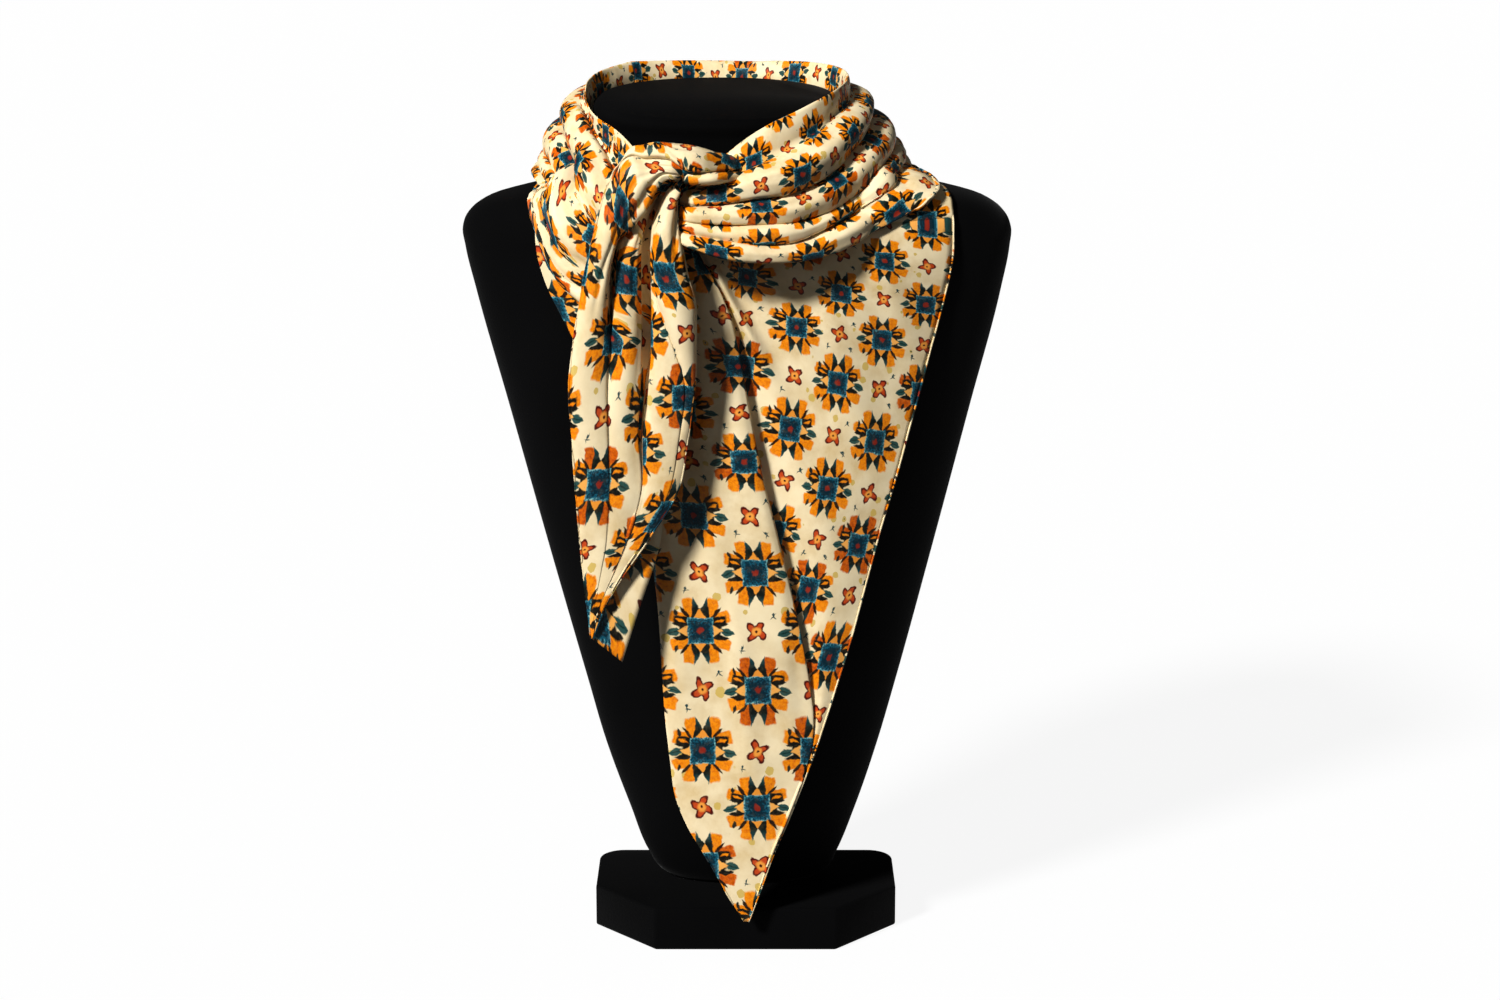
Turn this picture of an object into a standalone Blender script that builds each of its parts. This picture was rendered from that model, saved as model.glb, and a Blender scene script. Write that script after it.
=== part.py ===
"""A wild rag: a big silk square folded corner to corner, rolled round the neck of a limbless velvet bust,
tied at the front left, with its point hanging down the chest and one short end hanging from the tie.

The cloth is a set of thin walls, one for each stretch that shows. Each wall is a sheet of folds between
named fold lines, thickened inwards. Lengths in the tables are millimetres. The origin is under the middle
of the base, the front faces -Y and +X is to the right as the front is seen.
"""

import math

import bmesh
import bpy
import numpy as np

MM = 0.001
CLOTH = 1.2  # thickness of the doubled silk with the air in it
SEAM = 0.3  # gap between neighbouring pieces
REST = 0.7  # gap between the cloth's inner face and the form where it rests
FIRST_LAYER = REST + CLOTH  # from the form to the outer face of the cloth that lies on it
SHOULDER_LAYER = FIRST_LAYER + 0.35
PANEL_LAYER = FIRST_LAYER + 0.65
SECOND_LAYER = SHOULDER_LAYER + 1.65 + CLOTH
COLLAR_SEAM = 0.45  # between the collar's three stretches, whose edges lean a little

# Base plinth
BASE_WIDTH = 153.0
BASE_FRONT = -46.0
BASE_BACK = 47.0
BASE_HEIGHT = 22.0
BASE_FRONT_FACE = 91.0
BASE_CHAMFER_DEPTH = 37.0
BASE_BACK_RADIUS = 13.0
BASE_EDGE = 1.6

# Bust form: the middle of the neck, and the lean of the disc on top of it
NECK_X = -13.6
NECK_Y = 12.0
DISC_LEAN = math.radians(6.1)
LEAN_FROM = 396.0
FORM_TOP = 421.0
NECK_RIM = 1.4  # height of the rounded rim round the top disc
DISC_BACK = 427.5  # nothing above this height is near the neck's wall
SECTION_POWER = 2.2
FORM_COLUMNS = 40
FORM_SHOULDER = 340.0
LOWER_STEP = 26.0  # between the form's rings below the shoulder, and above it
UPPER_STEP = 6.0
# height, half_width, middle_x, front_y, back_y
FORM_SECTIONS = (
    (22.3, 38.0, -1.0, -8.0, 30.0),
    (26.0, 43.5, -1.0, -11.5, 33.0),
    (34.0, 48.0, -1.5, -15.0, 35.0),
    (60.0, 57.8, -1.5, -21.0, 37.0),
    (96.0, 69.5, -2.0, -27.0, 38.0),
    (128.0, 78.0, -2.0, -32.0, 39.0),
    (200.0, 96.5, -2.5, -42.0, 43.0),
    (271.0, 114.5, -3.0, -50.0, 49.0),
    (329.0, 129.5, -3.5, -53.0, 54.0),
    (350.0, 134.0, -4.0, -52.5, 56.0),
    (359.0, 134.9, -4.3, -51.0, 57.0),
    (366.0, 132.0, -4.5, -49.5, 57.5),
    (371.0, 126.5, -4.5, -48.0, 58.0),
    (375.0, 118.0, -4.5, -46.5, 58.5),
    (378.0, 106.0, -4.5, -45.0, 59.0),
    (381.0, 92.0, -5.5, -44.0, 60.0),
    (385.0, 80.0, -8.0, -43.0, 61.0),
    (391.0, 71.0, -11.0, -42.0, 62.0),
    (399.0, 64.5, -13.0, -41.0, 63.0),
    (409.0, 60.5, -14.0, -40.5, 64.0),
    (419.6, 59.5, -14.0, -40.0, 64.0),
    (421.0, 58.0, -14.0, -38.5, 62.5),
)

# Collar: the fold lines from the top edge of the roll down. Each is an oval round the neck that gives way
# where the form is wider.
# line, half_width_right, half_width_left, front, back
COLLAR_OVALS = (
    ("lip", 0.0, 0.0, 0.0, 0.0),
    ("first", 67.0, 73.0, 75.0, 64.0),
    ("second", 75.0, 83.0, 84.0, 68.0),
    ("third", 85.0, 85.5, 88.0, 71.0),
    ("fourth", 90.0, 88.0, 91.0, 73.0),
    ("fifth", 96.0, 90.0, 92.0, 74.0),
)
LIP_DROP = 13.0
# Heights of the roll's crest and of its fold lines; the angle runs round the neck, 0 at the front and
# positive to the right.
# angle, crest, first, second, third, fourth, fifth
RIGHT_HEIGHTS = (
    (-13.0, 389.0, 381.0, 377.5, 371.8, 367.0, 363.0),
    (0.0, 398.0, 388.0, 378.5, 370.0, 363.0, 355.0),
    (12.0, 408.0, 394.5, 381.0, 370.0, 360.5, 352.5),
    (24.0, 415.0, 400.5, 383.0, 370.0, 361.0, 352.5),
    (36.0, 419.5, 406.0, 387.5, 373.0, 366.0, 355.0),
    (48.0, 423.5, 411.0, 394.0, 378.0, 372.0, 361.5),
    (60.0, 427.0, 416.0, 400.5, 384.5, 379.0, 371.0),
    (72.0, 429.5, 419.5, 405.5, 389.0, 385.0, 378.5),
    (84.0, 431.0, 422.5, 410.0, 393.0, 388.5, 382.0),
    (96.0, 432.5, 425.0, 413.0, 397.0, 391.5, 385.0),
    (115.0, 434.0, 427.0, 416.0, 402.0, 395.0, 387.5),
    (135.0, 434.5, 428.0, 418.0, 407.0, 398.0, 389.0),
)
BACK_HEIGHTS = (
    (135.0, 434.5, 428.0, 418.0, 407.0, 398.0, 389.0),
    (158.0, 434.2, 427.0, 416.0, 406.0, 396.5, 387.5),
    (180.0, 434.0, 427.5, 417.5, 408.5, 397.0, 386.5),
    (203.0, 434.2, 427.0, 419.0, 407.5, 399.0, 388.0),
    (225.0, 434.5, 428.0, 418.0, 407.0, 398.0, 389.0),
)
LEFT_HEIGHTS = (
    (-135.0, 434.5, 428.0, 418.0, 407.0, 398.0, 389.0),
    (-112.0, 430.0, 426.0, 414.0, 400.0, 393.0, 387.5),
    (-90.0, 423.0, 420.0, 407.0, 391.5, 388.0, 385.0),
    (-78.0, 418.5, 414.0, 399.0, 387.0, 385.5, 384.0),
    (-68.0, 415.0, 407.0, 389.5, 382.0, 380.8, 379.5),
    (-60.0, 413.0, 400.5, 382.0, 371.5, 368.5, 365.5),
    (-52.0, 411.5, 393.0, 373.0, 350.0, 343.5, 337.5),
    (-40.0, 406.0, 382.0, 359.0, 340.0, 333.0, 327.0),
    (-31.0, 399.0, 376.0, 354.0, 338.0, 331.5, 326.0),
    (-24.0, 393.5, 378.0, 362.0, 348.5, 342.0, 337.0),
    (-17.0, 389.5, 381.0, 371.0, 361.5, 356.0, 352.0),
)
# How far each fold stands out, as a share of its own width
RIGHT_BULGES = (0.0, 0.46, 0.44, 0.5, 0.5)
BACK_BULGES = (0.0, 0.42, 0.4, 0.42, 0.45)
LEFT_BULGES = (0.0, 0.34, 0.3, 0.42, 0.42)
BULGES_MEET = 30.0  # degrees over which a side's folds turn into those of the back
FOLD_SQUARENESS = 0.62
FOLD_FULLNESS = 0.85
FOLD_STEPS = 5
RIGHT_COLUMNS = 27
BACK_COLUMNS = 13
LEFT_COLUMNS = 29

# Front panel: a row per level, with its two edges and the edge of its main pleat
# height, left_edge, pleat, right_edge, pleat_lift
PANEL_ROWS = (
    (18.5, -1.2, 0.3, 1.6, 0.0),
    (35.0, -10.5, -1.0, 7.5, 0.3),
    (53.0, -20.5, 4.0, 13.8, 0.6),
    (70.0, -30.0, 10.0, 20.8, 1.0),
    (83.0, -34.8, 15.0, 25.8, 1.2),
    (100.0, -37.1, 22.0, 32.0, 1.6),
    (120.0, -39.3, 28.0, 38.5, 2.4),
    (140.0, -40.6, 29.5, 44.8, 3.4),
    (161.0, -41.7, 27.0, 51.0, 4.6),
    (190.0, -43.8, 22.0, 58.6, 5.6),
    (218.0, -48.5, 15.0, 66.0, 6.4),
    (250.0, -59.0, 7.5, 75.0, 7.0),
    (284.0, -71.0, 1.0, 84.0, 6.6),
    (304.0, -79.5, -2.5, 89.0, 6.0),
    (323.0, -89.5, -7.0, 94.0, 5.4),
    (338.0, -96.5, -13.0, 97.5, 4.8),
    (350.0, -101.0, -20.0, 99.6, 4.0),
    (366.0, -103.6, -29.0, 99.8, 2.6),
)
# The places that shape each row: how far from the left edge (0) to the pleat (1) and on to the right edge
# (2), how far the cloth stands out there as a share of the pleat's lift, and whether that fades at the top
# across, lift, fades
PANEL_SHAPE = (
    (0.0, 0.0, False),
    (0.06, 0.45, True),
    (0.45, 0.8, True),
    (0.88, 1.15, False),
    (1.0, 1.0, False),
    (1.14, 0.1, False),
    (1.5, 0.35, False),
    (2.0, 0.0, False),
)
PLEAT_ALONE = 300.0  # above this height only the pleat itself stands out
PLEAT_FADE = 60.0
PROUD_HEIGHT = 325.0  # below the proudest part of the chest the cloth hangs straight
PANEL_STEPS = 21
PANEL_LEVELS = 21
KNOT_PULL = (-20.0, 358.0, 20.0, 26.0, 12.0)  # x, height, reach across, reach down, pull to the front

# Where the cloth lies over each shoulder, from the front panel's top to the back
# share, inner_x, outer_x
RIGHT_SHOULDER = (
    (0.0, 66.0, 99.5),
    (0.2, 69.0, 98.0),
    (0.4, 71.0, 95.5),
    (0.6, 70.0, 91.0),
    (0.8, 66.0, 82.0),
    (1.0, 58.0, 68.0),
)
LEFT_SHOULDER = (
    (0.0, -70.0, -103.6),
    (0.2, -76.5, -103.0),
    (0.4, -81.0, -101.0),
    (0.6, -83.0, -97.5),
    (0.8, -84.0, -93.0),
    (1.0, -83.0, -88.5),
)
SHOULDER_FOOT = 366.0
SHOULDER_BACK = 30.0
SHOULDER_LEVELS = 14
SHOULDER_STEPS = 6

# Tie: the strand that comes from the right, goes over the top and turns down into the short end
# outer_x, outer_z, inner_x, inner_z, outer_y, inner_y, stands_out
TIE_STATIONS = (
    (-4.5, 397.5, -7.0, 393.0, -63.0, -70.0, 1.0),
    (-12.5, 404.5, -17.0, 392.5, -65.4, -75.5, 5.0),
    (-20.0, 407.8, -23.5, 393.0, -66.0, -78.0, 7.0),
    (-29.0, 410.3, -29.8, 395.0, -66.0, -79.0, 8.0),
    (-38.0, 410.8, -35.0, 396.5, -66.0, -80.0, 9.0),
    (-46.5, 409.3, -39.5, 396.0, -66.0, -81.0, 10.0),
    (-54.5, 403.5, -43.0, 393.0, -67.0, -82.0, 10.5),
    (-61.5, 393.5, -45.5, 390.0, -70.0, -82.0, 11.0),
    (-66.2, 384.2, -47.5, 384.0, -75.5, -83.5, 9.0),
)
TIE_LEVELS = 16
TIE_STEPS = 8

# Short end: a folded strip, front layer from its hem to the left fold, back layer behind it
# height, left_fold, hem_x, back_x, back_drop, front_y, depth
TAIL_ROWS = (
    (382.0, -66.4, -31.5, -38.0, 0.0, -86.0, 6.0),
    (370.0, -69.6, -31.8, -38.0, 0.0, -87.0, 7.0),
    (357.0, -73.0, -28.8, -37.0, 0.0, -87.5, 7.5),
    (339.0, -76.5, -24.6, -36.0, 0.0, -87.0, 8.0),
    (318.0, -80.3, -23.0, -36.0, 0.0, -86.0, 8.0),
    (296.0, -82.5, -24.2, -36.0, 0.0, -84.5, 8.0),
    (270.0, -82.4, -27.2, -37.0, 0.0, -83.0, 8.0),
    (244.0, -80.9, -31.8, -38.5, 0.0, -81.5, 7.5),
    (230.0, -80.0, -37.8, -38.5, 0.0, -80.8, 7.0),
    (219.0, -79.2, -46.4, -40.5, 0.0, -80.2, 6.6),
    (204.5, -78.1, -56.5, -44.0, 0.0, -79.2, 6.0),
    (187.0, -76.4, -67.0, -50.0, 0.0, -78.4, 5.4),
    (170.0, -74.6, -73.2, -59.5, 12.5, -77.4, 4.8),
)
# Valleys of the short end's front layer, as shares of its width from the left fold
# height, outer_valley, deep_valley, crease
TAIL_VALLEYS = (
    (382.0, 0.50, 0.72, 0.86),
    (357.0, 0.36, 0.66, 0.84),
    (335.0, 0.33, 0.66, 0.84),
    (296.0, 0.34, 0.68, 0.86),
    (244.0, 0.36, 0.68, 0.86),
    (170.0, 0.36, 0.68, 0.86),
)
# height, outer_depth, deep_depth, crease_depth
TAIL_DEPTHS = (
    (382.0, 2.6, 3.4, 2.2),
    (357.0, 3.6, 5.0, 2.6),
    (335.0, 3.2, 5.4, 2.4),
    (296.0, 1.4, 4.6, 1.6),
    (244.0, 0.6, 2.4, 0.8),
    (170.0, 0.2, 0.4, 0.3),
)
TAIL_LEVELS = 20
TAIL_STEPS = 18
VALLEY_WIDTH = 0.07
# The hem turns back a little over the last share of the width
HEM_FROM = 0.8
HEM_TURN = 0.7
# The short end's folds run up and back into the tie, from a share of the width on
PINCH_FROM = 0.4
PINCH_SPAN = 0.45
PINCH_RISE = 12.0
PINCH_DEPTH = 9.0
PINCH_REACH = 9.0

VELVET = ((0.008, 0.008, 0.009), 0.95)
SILK = ((0.83, 0.70, 0.46), 0.45)


def smooth(at, knots, values):
    """The values read at one place, or at many, on a smooth curve through the knots."""
    at = np.asarray(at, float)
    knots = np.asarray(knots, float)
    values = np.asarray(values, float)
    slopes = np.gradient(values, knots)
    i = np.clip(np.searchsorted(knots, at) - 1, 0, len(knots) - 2)
    span = knots[i + 1] - knots[i]
    t = np.clip((at - knots[i]) / span, 0.0, 1.0)
    start = (1 + 2 * t) * (1 - t) ** 2 * values[i] + t * (1 - t) ** 2 * span * slopes[i]
    end = t * t * (3 - 2 * t) * values[i + 1] + t * t * (t - 1) * span * slopes[i + 1]
    return start + end


def column(table, number, at):
    """One column of a table, read against the table's first column."""
    rows = sorted(table)
    return smooth(at, [row[0] for row in rows], [row[number] for row in rows])


def by_share(table, number, shares):
    """One column of a table, read at shares of the way down its rows."""
    return smooth(shares, np.linspace(0.0, 1.0, len(table)), [row[number] for row in table])


def form_section(z):
    """Half width, middle, front and back of the form at a height."""
    return [column(FORM_SECTIONS, number, z) for number in (1, 2, 3, 4)]


def form_front(x, z):
    """The form's front surface, as y."""
    half, middle_x, front, back = form_section(z)
    middle = (front + back) / 2
    share = np.clip(np.abs((x - middle_x) / half), 0.0, 0.9999)
    return middle - (middle - front) * (1 - share**SECTION_POWER) ** (1 / SECTION_POWER)


def inside_form(x, y, z):
    half, middle_x, front, back = form_section(z)
    middle = (front + back) / 2
    reach = (back - front) / 2
    return abs((x - middle_x) / half) ** SECTION_POWER + abs((y - middle) / reach) ** SECTION_POWER < 1


def edge_of(test, near, far):
    """Where a test that holds at the near end of a range stops holding."""
    for _ in range(32):
        middle = (near + far) / 2
        if test(middle):
            near = middle
        else:
            far = middle
    return near


def beyond_form(points):
    """How far each point lies outside the form, and the way out; below zero inside."""
    def value(at):
        half, middle_x, front, back = form_section(np.minimum(at[:, 2], FORM_TOP - NECK_RIM))
        middle = (front + back) / 2
        reach = (back - front) / 2
        across = np.abs((at[:, 0] - middle_x) / half) ** SECTION_POWER
        along = np.abs((at[:, 1] - middle) / reach) ** SECTION_POWER
        return (across + along) ** (1 / SECTION_POWER) - 1.0

    step = 0.4
    slope = np.stack([value(points + offset) - value(points - offset) for offset in np.eye(3) * step], axis=1)
    slope /= 2 * step
    steepness = np.maximum(np.linalg.norm(slope, axis=1), 1e-6)
    return value(points) / steepness, slope / steepness[:, None]


def clear_of_form(grid, clearance, snug=False):
    """The grid with each point at least this far from the form or, if snug, just this far."""
    points = np.array(grid)
    flat = points.reshape(-1, 3)
    for _ in range(6):
        distance, outward = beyond_form(flat)
        short = clearance - distance
        if not snug:
            short = np.maximum(short, 0.0)
        short[flat[:, 2] > DISC_BACK] = 0.0
        flat += outward * short[:, None]
    return points


def form_radius(angle, z):
    """Distance from the middle of the neck to the form's surface, at an angle and a height."""
    along_x = math.sin(math.radians(angle))
    along_y = -math.cos(math.radians(angle))
    z = min(z, FORM_TOP - NECK_RIM)
    return edge_of(lambda r: inside_form(NECK_X + r * along_x, NECK_Y + r * along_y, z), 0.0, 250.0)


def form_top(x, y):
    """Height of the form's surface above a place on its shoulder."""
    return edge_of(lambda z: inside_form(x, y, z), FORM_SHOULDER, FORM_TOP)


def collar_point(number, angle, z):
    """A point of one of the collar's fold lines."""
    name, right, left, front, back = COLLAR_OVALS[number]
    along_x = math.sin(math.radians(angle))
    along_y = -math.cos(math.radians(angle))
    radius = form_radius(angle, z) + (FIRST_LAYER if name == "lip" else SECOND_LAYER)
    if name != "lip":
        side = right if along_x > 0 else left
        depth = front if along_y < 0 else back
        oval = 1.0 / math.hypot(along_x / side, along_y / depth)
        radius = max(radius, oval)
    return np.array((NECK_X + radius * along_x, NECK_Y + radius * along_y, z))


def fold(start, end, outward, height, steps, squareness=FOLD_SQUARENESS):
    """Points across one rounded fold, from one fold line to the next."""
    points = []
    for share in np.linspace(0.0, 1.0, steps + 1):
        even = (1 - math.cos(math.pi * share)) / 2
        across = share * (1 - squareness) + even * squareness
        rise = math.sin(math.pi * share) ** FOLD_FULLNESS if 0 < share < 1 else 0.0
        points.append(start + (end - start) * across + outward * (height * rise))
    return points


def collar_row(heights, bulges, angle):
    """The points across the collar at one angle, from inside the neck over each fold to the bottom edge."""
    crest, *levels = [float(column(heights, number, angle)) for number in range(1, 7)]
    side_share = min(1.0, max(0.0, (BACK_HEIGHTS[0][0] - abs(angle)) / BULGES_MEET))
    lip = min(crest - LIP_DROP, levels[0])
    lines = [collar_point(0, angle, lip)]
    lines += [collar_point(number + 1, angle, level) for number, level in enumerate(levels)]
    radial = np.array((math.sin(math.radians(angle)), -math.cos(math.radians(angle)), 0.0))
    row = []
    for number, (start, end) in enumerate(zip(lines, lines[1:])):
        chord = end - start
        width = float(np.linalg.norm(chord))
        outward = np.array((0.0, 0.0, float(chord @ radial))) - radial * chord[2]
        outward /= np.linalg.norm(outward)
        bulge = BACK_BULGES[number] + (bulges[number] - BACK_BULGES[number]) * side_share
        height = bulge * width
        if number == 0:
            outward = np.array((0.0, 0.0, 1.0))
            height = crest - (start[2] + end[2]) / 2
        points = fold(start, end, outward, height, FOLD_STEPS)
        row += points if number == 0 else points[1:]
    return row


def collar_grid(heights, bulges, count, trim_start, trim_end):
    first, last = min(row[0] for row in heights), max(row[0] for row in heights)
    angles = np.linspace(first + trim_start, last - trim_end, count)
    rows = [collar_row(heights, bulges, float(angle)) for angle in angles]
    inside_neck = clear_of_form([row[:FOLD_STEPS] for row in rows], PANEL_LAYER)
    outside = clear_of_form([row[FOLD_STEPS:] for row in rows], SECOND_LAYER)
    return np.concatenate([inside_neck, outside], axis=1)


def panel_depth(x, z):
    """How far forward the panel lies: on the form above its proudest part, straight down below it."""
    knot_x, knot_z, across, down, pull = KNOT_PULL
    surface = form_front(x, max(z, PROUD_HEIGHT)) - FIRST_LAYER
    near = math.exp(-(((x - knot_x) / across) ** 2 + ((z - knot_z) / down) ** 2) / 2)
    return float(surface) - pull * near


def panel_row(z):
    """The points across the panel at one height."""
    left, pleat, right, lift = [float(column(PANEL_ROWS, number, z)) for number in (1, 2, 3, 4)]
    open_part = min(1.0, max(0.0, (PLEAT_ALONE - z) / PLEAT_FADE))
    marks = np.linspace(0.0, 1.0, len(PANEL_SHAPE))
    shares = np.linspace(0.0, 1.0, PANEL_STEPS + 1)
    places = np.interp([across for across, _, _ in PANEL_SHAPE], (0.0, 1.0, 2.0), (left, pleat, right))
    stands_out = [lift * rise * (open_part if fades else 1.0) for _, rise, fades in PANEL_SHAPE]
    xs = smooth(shares, marks, places)
    lifts = smooth(shares, marks, stands_out)
    return [np.array((x, panel_depth(x, z) - rise, z)) for x, rise in zip(xs, lifts)]


def panel_grid():
    lowest, highest = PANEL_ROWS[0][0], PANEL_ROWS[-1][0]
    rows = [panel_row(float(z)) for z in np.linspace(lowest, highest, PANEL_LEVELS + 1)]
    return clear_of_form(rows, PANEL_LAYER)


def shoulder_grid(table):
    """A wall over one shoulder, resting on the form, from just above the front panel to the back."""
    grid = []
    for share in np.linspace(0.0, 1.0, SHOULDER_LEVELS + 1):
        inner_x, outer_x = [float(column(table, number, share)) for number in (1, 2)]
        row = []
        for x in np.linspace(inner_x, outer_x, SHOULDER_STEPS + 1):
            front = float(form_front(x, SHOULDER_FOOT + SEAM))
            y = front + (SHOULDER_BACK - front) * share
            row.append(np.array((x, y, form_top(x, y))))
        grid.append(row)
    return clear_of_form(grid, SHOULDER_LAYER, snug=True)


def tie_grid():
    """The strand over the top of the tie."""
    grid = []
    forward = np.array((0.0, -1.0, 0.0))
    for along in np.linspace(0.0, 1.0, TIE_LEVELS + 1):
        values = [float(by_share(TIE_STATIONS, number, along)) for number in range(7)]
        outer_x, outer_z, inner_x, inner_z, outer_y, inner_y, stands_out = values
        outer = np.array((outer_x, outer_y, outer_z))
        inner = np.array((inner_x, inner_y, inner_z))
        grid.append(fold(outer, inner, forward, stands_out, TIE_STEPS))
    return grid


def tail_row(z):
    """The points round the short end at one height: back layer, left fold, front layer to the hem."""
    names = (1, 2, 3, 4, 5, 6)
    left, hem, back_x, drop, front_y, depth = [float(column(TAIL_ROWS, number, z)) for number in names]
    valleys = [float(column(TAIL_VALLEYS, number, z)) for number in (1, 2, 3)]
    depths = [float(column(TAIL_DEPTHS, number, z)) for number in (1, 2, 3)]
    width = hem - left
    turn = depth / 2
    top = math.exp(-(TAIL_ROWS[0][0] - z) / PINCH_REACH)
    row = []
    for share in np.linspace(0.0, 1.0, TAIL_STEPS // 3 + 1):
        x = back_x + (left + turn - back_x) * share
        row.append(np.array((x, front_y + depth, z - drop * (1 - share))))
    for step in (1, 2, 3):
        angle = math.pi * step / 4
        x = left + turn - turn * math.sin(angle)
        y = front_y + turn + turn * math.cos(angle)
        row.append(np.array((x, y, z)))
    for share in np.linspace(0.0, 1.0, TAIL_STEPS + 1):
        x = left + turn + (hem - left - turn) * share
        place = (x - left) / width
        y = front_y
        for valley, deep in zip(valleys, depths):
            y += deep * math.exp(-(((place - valley) / VALLEY_WIDTH) ** 2))
        y += HEM_TURN * depth * max(0.0, place - HEM_FROM)
        towards = top * min(1.0, max(0.0, (place - PINCH_FROM) / PINCH_SPAN)) ** 2
        row.append(np.array((x, y + PINCH_DEPTH * towards, z + PINCH_RISE * towards)))
    return row


def tail_grid():
    lowest, highest = TAIL_ROWS[-1][0], TAIL_ROWS[0][0]
    return [tail_row(float(z)) for z in np.linspace(lowest, highest, TAIL_LEVELS + 1)]


def material(name, colour, roughness):
    made = bpy.data.materials.new(name)
    made.use_nodes = True
    shader = made.node_tree.nodes["Principled BSDF"]
    shader.inputs["Base Color"].default_value = (*colour, 1.0)
    shader.inputs["Roughness"].default_value = roughness
    shader.inputs["Metallic"].default_value = 0.0
    return made


def add_object(name, mesh, look, collection):
    made = bpy.data.objects.new(name, mesh)
    mesh.materials.append(look)
    collection.objects.link(made)
    mesh.shade_smooth()
    mesh.set_sharp_from_angle(angle=math.radians(50))
    return made


def cloth_wall(name, grid, outward, look, collection):
    """A wall of cloth: the grid is its outer face, and its thickness goes away from the side it faces."""
    points = np.array(grid) * MM
    rows, columns = points.shape[:2]
    faces = []
    for i in range(rows - 1):
        for j in range(columns - 1):
            corner = i * columns + j
            faces.append((corner, corner + 1, corner + columns + 1, corner + columns))
    flat = points.reshape(-1, 3)
    middle = faces[len(faces) // 2]
    normal = np.cross(flat[middle[1]] - flat[middle[0]], flat[middle[3]] - flat[middle[0]])
    if normal @ outward(flat[middle[0]] / MM) < 0:
        faces = [face[::-1] for face in faces]
    mesh = bpy.data.meshes.new(name)
    mesh.from_pydata([tuple(point) for point in flat], [], faces)
    mesh.validate()
    wall = add_object(name, mesh, look, collection)
    thicken = wall.modifiers.new("thickness", "SOLIDIFY")
    thicken.thickness = CLOTH * MM
    thicken.offset = -1.0
    return wall


def away_from_neck(point):
    return np.array((point[0] - NECK_X, point[1] - NECK_Y, 0.0))


def to_the_front(point):
    return np.array((0.0, -1.0, 0.0))


def upwards(point):
    return np.array((0.0, 0.0, 1.0))


def bust_form(look, collection):
    """Chest and neck in one smooth body, a ring of points per section."""
    heights = [row[0] for row in FORM_SECTIONS]
    levels = []
    for low, high in zip(heights, heights[1:]):
        parts = max(1, round((high - low) / (LOWER_STEP if high < FORM_SHOULDER else UPPER_STEP)))
        levels += [low + (high - low) * part / parts for part in range(parts)]
    levels.append(heights[-1])
    mesh = bmesh.new()
    rings = []
    for z in levels:
        half, middle_x, front, back = [float(value) for value in form_section(z)]
        middle = (front + back) / 2
        reach = (back - front) / 2
        lean = math.tan(DISC_LEAN) * max(0.0, (z - LEAN_FROM) / (FORM_TOP - LEAN_FROM))
        ring = []
        for step in range(FORM_COLUMNS):
            turn = 2 * math.pi * step / FORM_COLUMNS
            along_x = math.copysign(abs(math.cos(turn)) ** (2 / SECTION_POWER), math.cos(turn))
            along_y = math.copysign(abs(math.sin(turn)) ** (2 / SECTION_POWER), math.sin(turn))
            x = middle_x + half * along_x
            y = middle + reach * along_y
            ring.append(mesh.verts.new((x * MM, y * MM, (z + lean * (y - NECK_Y)) * MM)))
        rings.append(ring)
    for lower, upper in zip(rings, rings[1:]):
        for step in range(FORM_COLUMNS):
            following = (step + 1) % FORM_COLUMNS
            mesh.faces.new((lower[step], lower[following], upper[following], upper[step]))
    mesh.faces.new(rings[0][::-1])
    mesh.faces.new(rings[-1])
    data = bpy.data.meshes.new("bust_form")
    mesh.to_mesh(data)
    mesh.free()
    return add_object("bust_form", data, look, collection)


def base_plinth(look, collection):
    """A low block with its two front corners cut off and its back corners rounded."""
    side = BASE_WIDTH / 2
    outline = [
        (-BASE_FRONT_FACE / 2, BASE_FRONT),
        (BASE_FRONT_FACE / 2, BASE_FRONT),
        (side, BASE_FRONT + BASE_CHAMFER_DEPTH),
    ]
    for corner, first_turn in ((1, 0), (-1, 90)):
        for step in range(7):
            turn = math.radians(first_turn + 15 * step)
            x = corner * (side - BASE_BACK_RADIUS) + BASE_BACK_RADIUS * math.cos(turn)
            y = BASE_BACK - BASE_BACK_RADIUS + BASE_BACK_RADIUS * math.sin(turn)
            outline.append((x, y))
    outline.append((-side, BASE_FRONT + BASE_CHAMFER_DEPTH))
    mesh = bmesh.new()
    corners = [mesh.verts.new((x * MM, y * MM, 0.0)) for x, y in outline]
    bottom = mesh.faces.new(corners)
    raised = bmesh.ops.extrude_face_region(mesh, geom=[bottom])["geom"]
    tops = [item for item in raised if isinstance(item, bmesh.types.BMVert)]
    bmesh.ops.translate(mesh, verts=tops, vec=(0.0, 0.0, BASE_HEIGHT * MM))
    bmesh.ops.recalc_face_normals(mesh, faces=mesh.faces)
    data = bpy.data.meshes.new("base_plinth")
    mesh.to_mesh(data)
    mesh.free()
    made = add_object("base_plinth", data, look, collection)
    rounding = made.modifiers.new("edges", "BEVEL")
    rounding.width = BASE_EDGE * MM
    rounding.segments = 2
    rounding.limit_method = "ANGLE"
    rounding.angle_limit = math.radians(40)
    return made


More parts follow.
